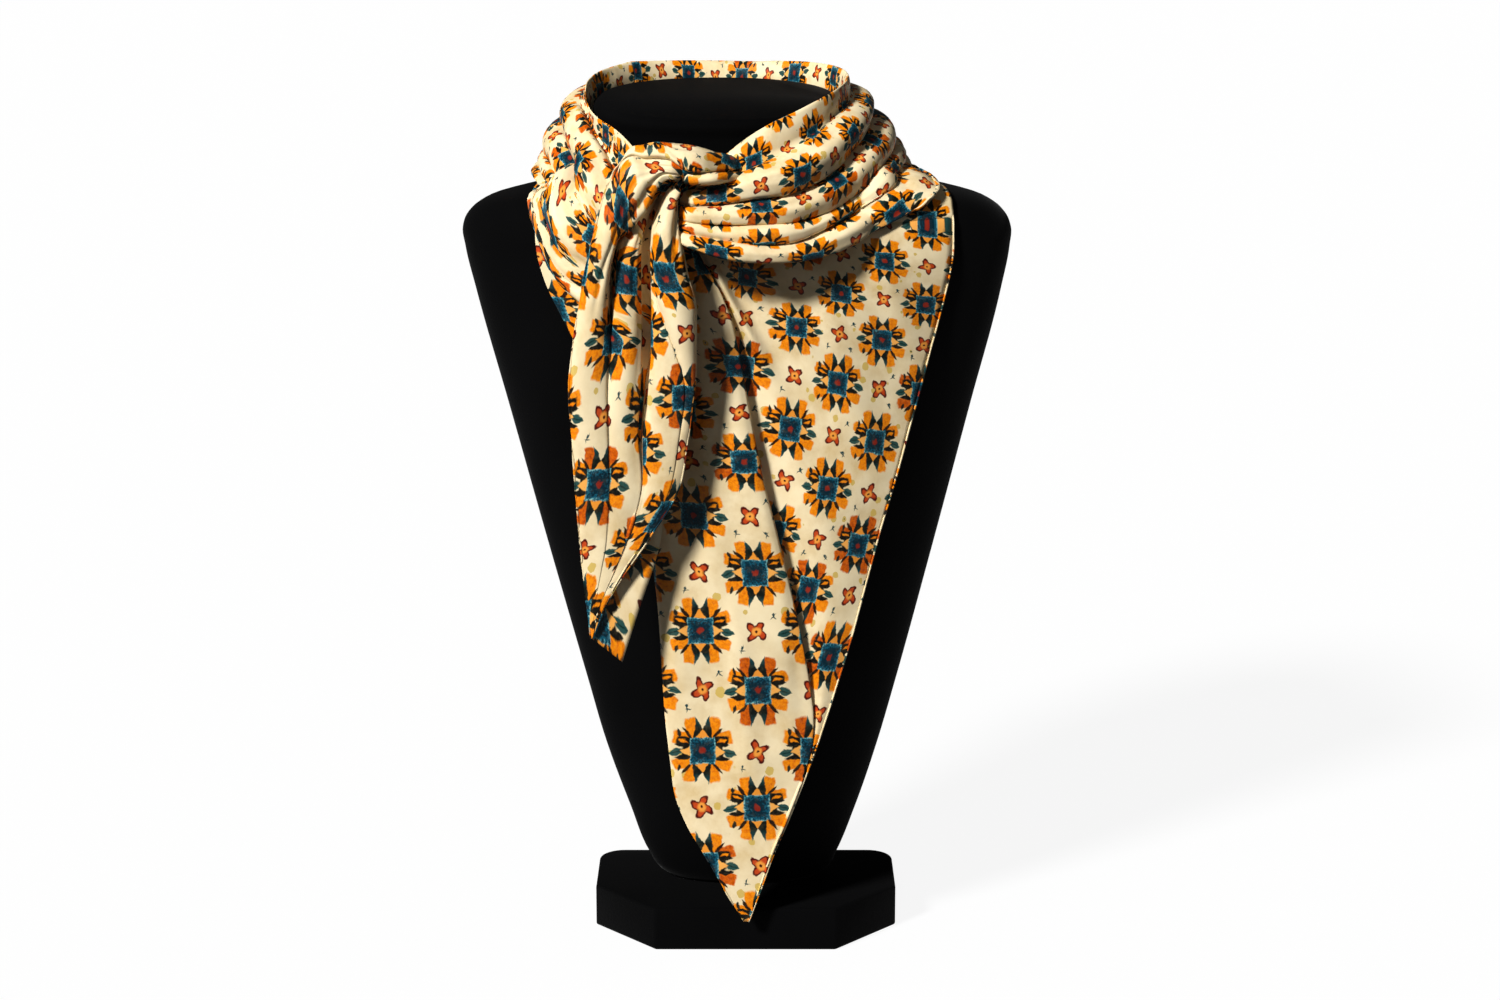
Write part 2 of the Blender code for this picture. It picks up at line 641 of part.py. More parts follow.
def main():
    for old in list(bpy.data.objects):
        bpy.data.objects.remove(old)
    collection = bpy.data.collections.new("wild_rag_on_bust")
    bpy.context.scene.collection.children.link(collection)
    velvet = material("black_velvet", *VELVET)
    silk = material("printed_silk", *SILK)
    base_plinth(velvet, collection)
    bust_form(velvet, collection)
    half_seam = math.degrees(COLLAR_SEAM / 2 / FORM_SECTIONS[-1][1])
    right = collar_grid(RIGHT_HEIGHTS, RIGHT_BULGES, RIGHT_COLUMNS, 0.0, half_seam)
    back = collar_grid(BACK_HEIGHTS, BACK_BULGES, BACK_COLUMNS, half_seam, half_seam)
    left = collar_grid(LEFT_HEIGHTS, LEFT_BULGES, LEFT_COLUMNS, half_seam, 0.0)
    cloth_wall("collar_right", right, away_from_neck, silk, collection)
    cloth_wall("collar_back", back, away_from_neck, silk, collection)
    cloth_wall("collar_left", left, away_from_neck, silk, collection)
    cloth_wall("front_panel", panel_grid(), to_the_front, silk, collection)
    cloth_wall("shoulder_right", shoulder_grid(RIGHT_SHOULDER), upwards, silk, collection)
    cloth_wall("shoulder_left", shoulder_grid(LEFT_SHOULDER), upwards, silk, collection)
    cloth_wall("tie", tie_grid(), to_the_front, silk, collection)
    cloth_wall("short_end", tail_grid(), to_the_front, silk, collection)


main()
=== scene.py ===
"""The visual model of a wild rag on a limbless black velvet bust.

A big printed silk square is folded corner to corner, rolled round the neck and tied at the front left. Its
point hangs down the chest and one short end hangs from the tie. Every stretch of cloth is a thin shell over
a grid of folds that are listed in the tables. The print is drawn with shader maths in the cloth's own
coordinates. Lengths in the tables are millimetres, with the origin under the middle of the base, the front
towards -Y and +X to the right.
"""

import math

import bmesh
import bpy
import numpy as np
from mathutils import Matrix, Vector, noise


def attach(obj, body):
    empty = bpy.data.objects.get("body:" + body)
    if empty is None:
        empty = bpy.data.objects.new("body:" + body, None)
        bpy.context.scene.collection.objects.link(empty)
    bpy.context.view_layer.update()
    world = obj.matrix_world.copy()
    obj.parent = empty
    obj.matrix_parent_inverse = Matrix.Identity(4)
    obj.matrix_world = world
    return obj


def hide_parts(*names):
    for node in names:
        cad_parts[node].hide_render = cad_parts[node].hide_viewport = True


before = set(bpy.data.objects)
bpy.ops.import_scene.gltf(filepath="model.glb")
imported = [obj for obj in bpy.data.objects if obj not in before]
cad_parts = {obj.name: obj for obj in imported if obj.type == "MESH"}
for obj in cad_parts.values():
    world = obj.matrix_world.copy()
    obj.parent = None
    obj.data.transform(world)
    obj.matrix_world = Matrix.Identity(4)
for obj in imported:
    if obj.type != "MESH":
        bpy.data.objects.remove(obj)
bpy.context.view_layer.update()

MM = 0.001
SILK_THICKNESS = 0.5
REST = 0.7
WALL = 1.2
PROBE = 0.4  # how far to each side the form's slope is measured
FIRST_LAYER = REST + WALL
SHOULDER_LAYER = FIRST_LAYER + 0.35
PANEL_LAYER = FIRST_LAYER + 0.65
SECOND_LAYER = SHOULDER_LAYER + 1.65 + WALL
COLLAR_CELL = 21.0  # spacing of the print's motifs
TIE_CELL = 25.0
HEM_RADIUS = 0.5
HEM_SIDES = 8
HEM_PRINT = 0.012  # how far the print runs on from side to side
FORWARD = np.array((0.0, -1.0, 0.0))
UP = np.array((0.0, 0.0, 1.0))

# Base plinth
BASE_WIDTH = 153.0
BASE_FRONT = -46.0
BASE_BACK = 47.0
BASE_HEIGHT = 22.0
BASE_FRONT_FACE = 91.0
BASE_CHAMFER_DEPTH = 37.0
BASE_BACK_RADIUS = 13.0
BASE_EDGE = 1.6
CORNER_STEPS = 12

# Bust form
NECK_X = -13.6
NECK_Y = 12.0
DISC_LEAN = math.radians(6.1)
LEAN_FROM = 396.0
FORM_TOP = 421.0
NECK_RIM = 1.4
DISC_BACK = 427.5
SECTION_POWER = 2.2
FORM_COLUMNS = 160
FORM_SHOULDER = 340.0
LEVELS_BELOW = 4.0  # how far apart the form's levels are, below its shoulders and above
LEVELS_ABOVE = 1.5
# height, half_width, middle_x, front_y, back_y
FORM_SECTIONS = (
    (22.3, 38, -1, -8, 30),
    (26, 43.5, -1, -11.5, 33),
    (34, 48, -1.5, -15, 35),
    (60, 57.8, -1.5, -21, 37),
    (96, 69.5, -2, -27, 38),
    (128, 78, -2, -32, 39),
    (200, 96.5, -2.5, -42, 43),
    (271, 114.5, -3, -50, 49),
    (329, 129.5, -3.5, -53, 54),
    (350, 134, -4, -52.5, 56),
    (359, 134.9, -4.3, -51, 57),
    (366, 132, -4.5, -49.5, 57.5),
    (371, 126.5, -4.5, -48, 58),
    (375, 118, -4.5, -46.5, 58.5),
    (378, 106, -4.5, -45, 59),
    (381, 92, -5.5, -44, 60),
    (385, 80, -8, -43, 61),
    (391, 71, -11, -42, 62),
    (399, 64.5, -13, -41, 63),
    (409, 60.5, -14, -40.5, 64),
    (419.6, 59.5, -14, -40, 64),
    (421, 58, -14, -38.5, 62.5),
)

# Collar: the fold lines from the top edge of the roll down
# line, half_width_right, half_width_left, front, back
COLLAR_OVALS = (
    ("lip", 0, 0, 0, 0),
    ("first", 65.5, 67, 75, 63),
    ("second", 72, 73.5, 84, 67),
    ("third", 80.5, 82, 88, 70),
    ("fourth", 90, 88, 91, 73),
    ("fifth", 96, 92, 92, 74),
)
LIP_DROP = 13.0
# Heights of the crest and of those lines, first at the two seams and then round the roll
SEAM_HEIGHTS = (434.5, 428, 418, 407, 398, 389)
# angle, crest, first, second, third, fourth, fifth
RIGHT_HEIGHTS = (
    (-13, 389, 381, 377.5, 371.8, 367, 363),
    (0, 398, 388, 378.5, 370, 363, 355),
    (12, 408, 394.5, 381, 370, 360.5, 352.5),
    (24, 415, 400.5, 383, 370, 361, 352.5),
    (36, 419.5, 406, 387.5, 373, 366, 355),
    (48, 423.5, 411, 394, 378, 372, 361.5),
    (60, 427, 416, 400.5, 384.5, 379, 371),
    (72, 429.5, 419.5, 405.5, 389, 385, 378.5),
    (84, 431, 422.5, 410, 393, 388.5, 382),
    (96, 432.5, 425, 413, 397, 391.5, 385),
    (115, 434, 427, 416, 402, 395, 387.5),
    (135, *SEAM_HEIGHTS),
)
BACK_HEIGHTS = (
    (135, *SEAM_HEIGHTS),
    (158, 434.2, 427, 416, 406, 396.5, 387.5),
    (180, 434, 427.5, 417.5, 408.5, 397, 386.5),
    (203, 434.2, 427, 419, 407.5, 399, 388),
    (225, *SEAM_HEIGHTS),
)
LEFT_HEIGHTS = (
    (-135, *SEAM_HEIGHTS),
    (-112, 430, 426, 414, 400, 393, 387.5),
    (-90, 423, 420, 407, 391.5, 388, 385),
    (-78, 418.5, 414, 399, 387, 385.5, 384),
    (-68, 415, 407, 389.5, 382, 380.8, 379.5),
    (-60, 413, 400.5, 382, 371.5, 368.5, 365.5),
    (-52, 411.5, 393, 373, 350, 343.5, 337.5),
    (-40, 406, 382, 359, 340, 333, 327),
    (-31, 399, 376, 354, 338, 331.5, 326),
    (-24, 393.5, 378, 362, 348.5, 342, 337),
    (-17, 389.5, 381, 371, 361.5, 356, 352),
)
# How far each fold stands out, as a share of its width
RIGHT_BULGES = (0, 0.58, 0.6, 0.66, 0.6)
BACK_BULGES = (0, 0.42, 0.4, 0.42, 0.45)
LEFT_BULGES = (0, 0.52, 0.46, 0.54, 0.42)
BULGES_MEET = 30.0
SHOULDER_FLAT = 0.6  # how much flatter the lowest fold lies over the shoulders
SHOULDER_ANGLES = (44, 112, 22)  # where those are, to both sides, and how softly they end
FOLD_SQUARENESS = 0.62
FOLD_FULLNESS = 0.85
LIP_FROM = 0.76
LIP_REACH = 0.15
COLLAR_LAP = 0.8
TURN_OVER = 1.9  # how far that lap turns over: 1 takes it away, 2 turns it round
LEFT_TURNED_OVER = (-96, 10, 20)  # where the left folds lap upwards instead: two angles and a soft end
COLLAR_STEPS = 16
COLLAR_SEAM = 0.1
KNOT_HOLLOW = (-11, 387, 7, 7, 5)  # angle, height, reach across and down, depth
KNOT_DIVE = (-13, 2.6, 6)  # where the right folds dive behind the tie: angle, reach, depth
LEFT_TUCK = 8.0  # the left folds stop this many degrees short, out of sight behind the tie
# Places where a valley between two folds lies deeper
# line, angle, reach, depth
DEEP_VALLEYS = (
    ("second", 4, 16, 2),
    ("third", 8, 18, 3),
    ("fourth", 2, 14, 5),
    ("fourth", 40, 20, 2.5),
    ("first", 40, 34, 2.2),
    ("second", 48, 34, 2.5),
    ("third", 52, 30, 2.5),
    ("first", -56, 24, 4.5),
    ("second", -50, 20, 5.5),
    ("third", -44, 16, 4.5),
)
PRINT_MIDDLES = (6.5, 40.5, 69, 97.5, 121, 141)  # where down the print each fold has its middle
PRINT_RADIUS = 86.0  # where the print's columns round the roll are as far apart as they are on flat silk
PRINT_SWAY = 0.1  # how far the print's rows sway up and down round the roll, and how fast
SWAY_RATE = 0.9
CALM_INSIDE = 0.6  # the share of the first fold that has no waves
# height, length, seed
COLLAR_WAVES = ((0.55, 17, 1), (0.22, 6.5, 2))
PANEL_WAVES = ((0.5, 26, 3), (0.18, 9, 4))
TIE_WAVES = ((0.35, 15, 5), (0.12, 6, 6))

# Small creases along the collar's folds
# Their soft ends, and how they sway: height, rate along the fold, shift for each crease
COLLAR_SWAY = (12.0, 0.06, math.radians(4), math.radians(300))
# fold, across, from_angle, to_angle, depth, width
COLLAR_CREASES = {
    "right": (
        (1, 0.38, -6, 46, 1, 0.1),
        (1, 0.7, 20, 88, 0.8, 0.08),
        (2, 0.3, -4, 58, 1.3, 0.08),
        (2, 0.62, 8, 36, 0.9, 0.07),
        (2, 0.8, 44, 96, 0.9, 0.08),
        (3, 0.45, -2, 40, 1, 0.1),
        (3, 0.28, 38, 84, 0.8, 0.09),
        (4, 0.5, 14, 70, 0.7, 0.12),
        (5, 0.4, -4, 34, 0.8, 0.12),
        (5, 0.65, 26, 76, 0.7, 0.1),
    ),
    "left": (
        (1, 0.76, -100, -20, 4, 0.055),
        (2, 0.35, -66, -24, 1.1, 0.08),
        (2, 0.72, -58, -34, 0.9, 0.08),
        (3, 0.5, -60, -26, 1, 0.08),
        (3, 0.25, -48, -20, 0.8, 0.07),
        (1, 0.4, -130, -84, 0.8, 0.1),
        (3, 0.6, -128, -90, 0.8, 0.1),
    ),
    "back": (
        (1, 0.5, 150, 205, 0.8, 0.1),
        (3, 0.4, 140, 190, 0.9, 0.1),
        (2, 0.65, 170, 222, 0.8, 0.09),
    ),
}

# Front panel
# height, left_edge, pleat, right_edge, pleat_lift
PANEL_ROWS = (
    (18.5, -1.2, 1.2, 1.6, 0),
    (35, -10.5, 6.8, 7.5, 0.1),
    (53, -20.5, 13, 13.8, 0.2),
    (70, -30, 19.9, 20.8, 0.3),
    (83, -34.8, 24.8, 25.8, 0.5),
    (100, -37.1, 30.4, 32, 0.9),
    (120, -39.3, 33.2, 38.5, 1.7),
    (140, -40.6, 31.6, 44.8, 3),
    (161, -41.7, 28.2, 51, 4.6),
    (190, -43.8, 22, 58.6, 5.6),
    (218, -48.5, 15, 66, 6.4),
    (250, -59, 7.5, 75, 7),
    (284, -71, 1, 84, 6.6),
    (304, -79.5, -2.5, 89, 6),
    (323, -89.5, -7, 94, 5.4),
    (338, -96.5, -13, 97.5, 4.8),
    (350, -100, -20, 99.6, 4),
    (366, -101.4, -29, 99.8, 2.6),
)
# across, lift, fades
PANEL_SHAPE = (
    (0, 0, False),
    (0.06, 0.45, True),
    (0.45, 0.8, True),
    (0.86, 1.2, False),
    (0.985, 1.05, False),
    (1, 0.5, False),
    (0.99, 0.05, False),
    (1.08, 0, False),
    (1.5, 0.35, False),
    (2, 0, False),
)
PLEAT_ALONE = 300.0
PLEAT_FADE = 60.0
PROUD_HEIGHT = 325.0
PANEL_OVERLAP = 3.0  # how far the panel runs on over the shoulders' cloth
OVERLAP_SINKS = 0.9
# Places across the panel, counted in the rows of its shape
PLEAT_CREST = 4.0
PLEAT_UNDER = 6.2
PANEL_STEPS = 150
PANEL_LEVELS = 190
# The bulge below the knot: x, height, reach across and down, depth
KNOT_PULL = (-26, 350, 16, 26, 3)
# Soft folds of the panel, from the knot out: each is a ridge between two places, narrow at its top
FOLD_TOP = 0.45
FOLD_WIDENS = 0.75
FOLD_RUN = (0, 1.15, 0.4)  # from, to and soft ends, as shares of its length
# top_x, top_z, foot_x, foot_z, rise, width
PANEL_FOLDS = (
    (-22, 360, 10, 300, 4.6, 3.2),
    (-6, 366, 34, 306, 2.6, 5),
    (14, 370, 62, 318, 1.4, 8),
    (-2, 330, 44, 200, 1.4, 9),
    (30, 352, 66, 240, 1.2, 10),
    (58, 372, 84, 290, 1.3, 8),
    (-26, 330, -12, 190, 1.5, 8),
    (-44, 300, -30, 120, 1.3, 7),
    (-6, 200, 4, 70, 1.2, 8),
    (20, 200, 30, 110, -0.9, 5),
)

# Where the print's rows and columns run on the panel, left and right of the main pleat
# height, column_x, row
LEFT_PRINT = (
    (18, 8.5, -7),
    (47.7, 7.5, -6),
    (78.2, 5.6, -5),
    (107, 6, -4),
    (138.9, 6.1, -3),
    (169, 5.2, -2),
    (198.7, 4.6, -1),
    (227, 2.1, 0),
    (254.1, -0.7, 1),
    (278, -3, 2),
    (300.5, -3.5, 3),
    (325, -11, 4),
    (350, -18, 5),
    (375, -26, 6),
)
LEFT_SPACING = 27.2
RIGHT_PRINT = (
    (18, -4, -4),
    (36, 2, -3),
    (58, 10, -2),
    (81, 18.5, -1),
    (104.5, 26.8, 0),
    (125.5, 35.5, 1),
    (154.4, 40.8, 2),
    (185.2, 50.4, 3),
    (210.2, 54.6, 4),
    (235.6, 59.7, 5),
    (261.3, 62.4, 6),
    (287.2, 64.6, 7),
    (311.1, 65.5, 8),
    (330.5, 66.2, 9),
    (349.2, 66.5, 10),
    (367, 66.5, 11),
)
RIGHT_SPACING = 20.6
RIGHT_TILT = 0.18

# share, inner_x, outer_x
RIGHT_SHOULDER = (
    (0, 66, 99.5),
    (0.2, 69, 98),
    (0.4, 71, 95.5),
    (0.6, 70, 91),
    (0.8, 66, 82),
    (1, 58, 68),
)
LEFT_SHOULDER = (
    (0, -70, -101.4),
    (0.2, -76.5, -102.5),
    (0.4, -81, -101.5),
    (0.6, -83, -98.5),
    (0.8, -84, -93),
    (1, -83, -88.5),
)
SHOULDER_FOOT = 366.3
SHOULDER_WAVE = (0.25, 14)  # height and length
SHOULDER_BACK = 30.0
SHOULDER_LEVELS = 60
SHOULDER_STEPS = 26

# Tie and short end: one strand, a row per place along it from under the right side of the collar, over the
# tie and down the short end. Each row crosses the fold lines in the same order.
# outer, first, second, deep, ridge, crease, hem
TIE_ACROSS = (
    (6, 6, 6, 6, 6, 6, 6),
    (-13.8, -13.7, -13.7, -13.7, -13.7, -13.7, -13.7),
    (-21.3, -21.6, -21.8, -21.8, -21.8, -21.8, -21.8),
    (-27.4, -27.6, -27.3, -27.2, -27.2, -27.2, -27.4),
    (-32.1, -30.4, -29.5, -29.6, -29.8, -30, -30.2),
    (-36.8, -35.5, -33.2, -32.6, -32.2, -31.9, -31),
    (-42.4, -41.6, -37.9, -36, -34.8, -34.2, -31.2),
    (-48, -47.7, -42.1, -39, -37.2, -36.6, -31.7),
    (-53.2, -53.3, -45, -42, -39.4, -38.6, -32.1),
    (-58.3, -58.5, -47.6, -44.8, -41.6, -41, -31.9),
    (-62.9, -62.8, -51, -47.6, -43.6, -43.1, -31.4),
    (-67, -66.9, -54.8, -50.1, -44.4, -43.9, -30.5),
    (-70.2, -70.2, -58.3, -51.3, -44.8, -44, -28.9),
    (-73.6, -73.5, -60.5, -52, -44.6, -43.4, -26.9),
    (-77, -77, -61.6, -52, -44.3, -41.7, -23.6),
    (-80.1, -80, -62.6, -51.8, -44.4, -37.5, -23.2),
    (-81.9, -81.9, -64, -51.6, -44.7, -32.4, -23.3),
    (-83.3, -83.3, -65.3, -52.1, -45.8, -28.8, -24.3),
    (-82.4, -82.3, -65, -52.6, -47, -31.5, -27.2),
    (-80.9, -80.8, -64.8, -51.5, -48, -36.2, -31.8),
    (-79.2, -79.1, -66.5, -57.5, -55, -48.8, -46.4),
    (-78.1, -78, -69, -63, -61.4, -58, -56.5),
    (-76.4, -76.3, -72.3, -70, -69.2, -67.6, -67),
    (-74.6, -74.55, -74.2, -73.9, -73.7, -73.4, -73.2),
)
TIE_HEIGHTS = (
    (396, 394, 393.6, 393.3, 393, 392.7, 392.4),
    (402.8, 394.5, 394, 393.5, 393, 392.5, 392),
    (405.4, 394.5, 393.6, 393, 392.4, 392, 391.5),
    (406.6, 395.5, 393.8, 392.8, 391.8, 391, 390.4),
    (406.9, 397, 393.3, 391.6, 390.5, 389.3, 388.1),
    (406.9, 400.2, 392.6, 390.5, 389.3, 388.1, 386.9),
    (406.6, 400.8, 391.8, 388.7, 387.7, 386.5, 385.3),
    (405.4, 400.6, 387.1, 385.9, 385, 384.4, 383.2),
    (404.3, 401.8, 382.4, 382.2, 381.4, 381.2, 380),
    (399.1, 398.9, 378.7, 377.5, 376.7, 377.2, 376),
    (392.6, 392.3, 374, 371.9, 371.1, 372.1, 370.5),
    (381.9, 381.6, 368, 365.3, 364, 365.7, 363.5),
    (369.2, 368.8, 360.7, 357.7, 356.9, 357.4, 356.1),
    (355.7, 355.4, 349, 346.4, 345.6, 345.1, 345.9),
    (338.3, 338, 333.9, 333.1, 332.8, 334.3, 333.6),
    (321.1, 320.8, 321, 320.8, 320.5, 321.9, 321.2),
    (307.7, 307.4, 308, 307.4, 307.6, 308, 307.8),
    (292.2, 291.9, 292.6, 292.7, 292.4, 292.5, 291.3),
    (270, 269.8, 270, 270, 270, 270, 270),
    (244, 243.8, 244, 244, 244, 244, 244),
    (219, 218.9, 219, 219, 219, 219, 219),
    (204.5, 204.4, 204.5, 204.5, 204.5, 204.5, 204.5),
    (187, 186.9, 187, 187, 187, 187, 187),
    (170, 169.9, 170, 170, 170, 170, 170),
)
TIE_DEPTHS = (
    (-50, -52, -51, -50, -49, -48, -48),
    (-61, -71, -68, -66, -64, -62, -61),
    (-64.5, -76.5, -73, -70, -67, -65, -64),
    (-65, -77, -74, -71, -69, -67, -65),
    (-65, -76, -74, -71, -71, -71, -68),
    (-65, -75, -75, -71, -72, -72.5, -70),
    (-65, -74, -75.5, -71, -73, -74, -71),
    (-65, -73, -76, -71, -73.5, -75, -72),
    (-66, -72, -76, -71, -74, -75.5, -73),
    (-68, -72.5, -76, -71.5, -74, -76, -74),
    (-72, -74, -75.5, -72, -74, -76.5, -75),
    (-77, -78, -75.5, -72.5, -74.5, -77, -76.5),
    (-80.5, -81.5, -76.5, -73, -75, -77.5, -78),
    (-82, -83, -78.5, -73.5, -76, -78.5, -79.5),
    (-82.5, -83.5, -80.5, -74.5, -77, -80, -80),
    (-82, -83, -81.5, -76, -78.5, -81.5, -80.5),
    (-81.5, -82.5, -82, -77.5, -80, -82, -81),
    (-80.5, -81.5, -82, -79, -80.5, -81.5, -80.5),
    (-79.5, -80.5, -81.4, -79.6, -80.6, -81.2, -80),
    (-78.5, -79.5, -80.4, -79.4, -80, -80.4, -79),
    (-77.5, -78.2, -79.6, -79, -79.4, -79.4, -78.5),
    (-76.8, -77.4, -78.8, -78.6, -78.6, -78.6, -78),
    (-76.4, -76.8, -78.2, -78.2, -78.2, -78.2, -77.8),
    (-76.2, -76.6, -77.4, -77.4, -77.4, -77.4, -77.2),
)
# How far the cloth between two fold lines stands out, as a share of the distance between them
# outer, first, second, deep, ridge, crease
TIE_BULGES = (
    (0.3, 0.2, 0.1, 0.1, 0.1, 0.1),
    (0.34, 0.3, 0.1, 0.1, 0.1, 0.1),
    (0.36, 0.3, 0.1, 0.1, 0.1, 0.1),
    (0.38, 0.4, 0.1, 0, 0.1, 0.2),
    (0.42, 0.5, 0.1, -0.3, 0.1, 0.4),
    (0.46, 0.55, 0, -0.7, 0.1, 0.6),
    (0.5, 0.52, 0, -1, 0.1, 0.7),
    (0.5, 0.48, 0, -1.2, 0.1, 0.7),
    (0.5, 0.46, 0.1, -1.4, 0.1, 0.65),
    (0.4, 0.46, 0.3, -1.5, 0.1, 0.6),
    (0.2, 0.46, 0.6, -1.5, 0.1, 0.56),
    (0.1, 0.46, 0.75, -1.45, 0.1, 0.5),
    (0.1, 0.44, 0.7, -1.4, 0.1, 0.42),
    (0.1, 0.38, 0.6, -1.35, 0.1, 0.36),
    (0.1, 0.32, 0.5, -1.35, 0.2, 0.36),
    (0.1, 0.26, 0.44, -1.25, 0.2, 0.36),
    (0.1, 0.2, 0.4, -1.05, 0.15, 0.36),
    (0.1, 0.16, 0.34, -0.75, 0.12, 0.3),
    (0.1, 0.12, 0.2, -0.3, 0.1, 0.16),
    (0.1, 0.08, 0.1, 0, 0.06, 0.06),
    (0.1, 0.06, 0.04, 0, 0.04, 0.04),
    (0.1, 0.05, 0.04, 0, 0.04, 0.04),
    (0.1, 0.05, 0.04, 0, 0.04, 0.04),
    (0, 0, 0, 0, 0, 0),
)
# The layer behind the outer edge: how far it reaches back, across and down from that edge
# back_x, back_y, back_z
TIE_BEHIND = (
    (0, 12, -5),
    (0, 14, -5),
    (0, 15, -5),
    (0, 15, -5),
    (0, 15, -5),
    (1, 15, -5),
    (2, 15, -6),
    (4, 14, -6),
    (6, 12, -6),
    (9, 10, -5),
    (14, 10, -3),
    (20, 13.5, 0),
    (28, 17.5, 0),
    (34, 19, 0),
    (38, 19.5, 0),
    (42, 19, 0),
    (44, 17.5, 0),
    (46, 14.5, 0),
    (45, 11.5, 0),
    (42.4, 8, 0),
    (38.7, 6, 0),
    (34.1, 4.5, 0),
    (26.4, 3.4, 0),
    (15.1, 2, -12.5),
)
# How much each fold laps over the next, near the tie and further down, and the rows where that changes
TIE_LAPS = ((0.9, 0.9), (1, 0.2), (1, 1), (0, 0), (0, 0.3), (0.3, 0.1))
LAPS_CHANGE = 9.0
LAPS_REACH = 4.0
TIE_LENGTHWISE = 260
HEM_SHOWS = 120  # the step where the hem comes into sight
TIE_FOLD_STEPS = (10, 18, 24, 20, 10, 18, 16)
DEEP_FOLD = 3
VALLEY_FLATNESS = 0.4  # how square the deep valley of the short end is
# Fine creases along the strand, with their soft ends and sway as on the collar
TIE_SWAY = (2.0, 0.05, 0.9, 9.0)
FULL_CREASES = 9.0  # the width of fold from which its creases have their full depth
# fold, across, from_row, to_row, depth, width
TIE_CREASES = (
    (0, 0.35, 1, 7.5, 1.1, 0.07),
    (0, 0.68, 1.5, 6, 0.9, 0.07),
    (1, 0.26, 3.5, 12, 1.5, 0.05),
    (1, 0.46, 4.5, 15, 1.2, 0.05),
    (1, 0.66, 3.5, 12, 1.6, 0.05),
    (1, 0.86, 10.6, 15.8, 12.5, 0.17),
    (2, 0.5, 8, 15, 0.8, 0.1),
    (5, 0.74, 4.5, 13, 2.6, 0.07),
    (5, 0.4, 10, 15, 0.8, 0.1),
)
# The print along the strand: its row, and where its middle column runs across the cloth, from the outer edge
# on the left folds and from the hem on the right one
# place, print_row, column
TIE_PRINT = (
    (0, 5.6, 30),
    (1, 4.65, 30),
    (2, 4.28, 30),
    (3, 4, 30),
    (6.3, 3, 24),
    (10.5, 2, 18),
    (13.2, 1, 22),
    (15.3, 0, 23),
    (17.6, -1, 18),
    (18.9, -2, 13),
    (20.3, -3, 3),
    (22.4, -4, -4),
    (23.5, -4.5, -8),
)
TIE_PRINT_RIGHT = (
    (0, 3, -8),
    (4, 2, -8),
    (8, 1, -6),
    (13, 0, -13),
    (15.1, -1, -7),
    (17.2, -2, -6),
    (18.3, -3, -1),
    (19.5, -4, 0),
    (21, -5, 3),
    (23.5, -6.5, 6),
)
# Small strand that leaves the tie to the right, under the arch
UNDER_LENGTHWISE = 40
UNDER_STEPS = 20
UNDER_TURN = 1.3  # how far round it goes, in half turns
# x, top_z, bottom_z, y, stands_out
UNDER_STRAND = (
    (-29.5, 394, 389, -72, 1),
    (-26, 394.6, 388.6, -74.5, 4),
    (-20, 394.6, 388.4, -75, 5),
    (-13, 394.4, 388.8, -74, 5),
    (-6, 393.8, 389.4, -68, 3),
    (1, 393.4, 390, -60, 2),
    (7, 392.6, 390.6, -52, 1),
)

# Print, in spacings of its motifs
EDGE_SOFT = 0.018
BLOCK_POWER = 7.0
RAGGED = 0.11
# Small sprigs round each flower: each shows where one of the flower's own random numbers is above a limit
# at_x, at_y, angle, number, limit
SPRIGS = (
    (0.3, 0.26, 40, 1, 0.35),
    (-0.27, -0.3, 75, 2, 0.4),
    (0.26, -0.31, -35, 1, 0.6),
)

# Stage
FLOOR_REACH = 30000.0
# In metres
CAMERA_AT = (0.00215, -1.6, 0.575)
CAMERA_AIM = (0.00215, 0.0, 0.2212)
# name, azimuth, elevation, power, spread
LAMPS = (
    ("key", -41, 36, 4.9, 9),
    ("fill", 20, 25, 0.05, 50),
)


def smooth(at, knots, values):
    """The values read at one place, or at many, on a smooth curve through the knots."""
    at, knots, values = [np.asarray(numbers, float) for numbers in (at, knots, values)]
    slopes = np.gradient(values, knots)
    i = np.clip(np.searchsorted(knots, at) - 1, 0, len(knots) - 2)
    span = knots[i + 1] - knots[i]
    t = np.clip((at - knots[i]) / span, 0.0, 1.0)
    start = (1 + 2 * t) * (1 - t) ** 2 * values[i] + t * (1 - t) ** 2 * span * slopes[i]
    end = t * t * (3 - 2 * t) * values[i + 1] + t * t * (t - 1) * span * slopes[i + 1]
    return start + end


def column(table, number, at):
    """One column of a table, read against the table's first column."""
    return smooth(at, [row[0] for row in table], [row[number] for row in table])


def by_row(table, number, rows):
    """One column of a table, read at places counted in its rows."""
    return smooth(rows, np.arange(len(table)), [row[number] for row in table])


def ridge(at, place, width):
    return np.exp(-(((at - place) / width) ** 2))


def between(at, start, end, soften):
    """1 inside a range, falling to 0 over its ends."""
    rise = np.clip((at - start) / soften, 0.0, 1.0)
    fall = np.clip((end - at) / soften, 0.0, 1.0)
    both = np.minimum(rise, fall)
    return both * both * (3 - 2 * both)


def unit(vectors):
    return vectors / np.maximum(np.linalg.norm(vectors, axis=-1, keepdims=True), 1e-9)


def from_neck(grid):
    """The level way from the neck's middle to each point."""
    return (grid - (NECK_X, NECK_Y, 0)) * (1, 1, 0)


def form_section(z):
    """The form at a height: half its width, half its depth, and its middle in x and in y."""
    half, middle_x, front, back = [column(FORM_SECTIONS, number, z) for number in (1, 2, 3, 4)]
    return half, (back - front) / 2, middle_x, (front + back) / 2


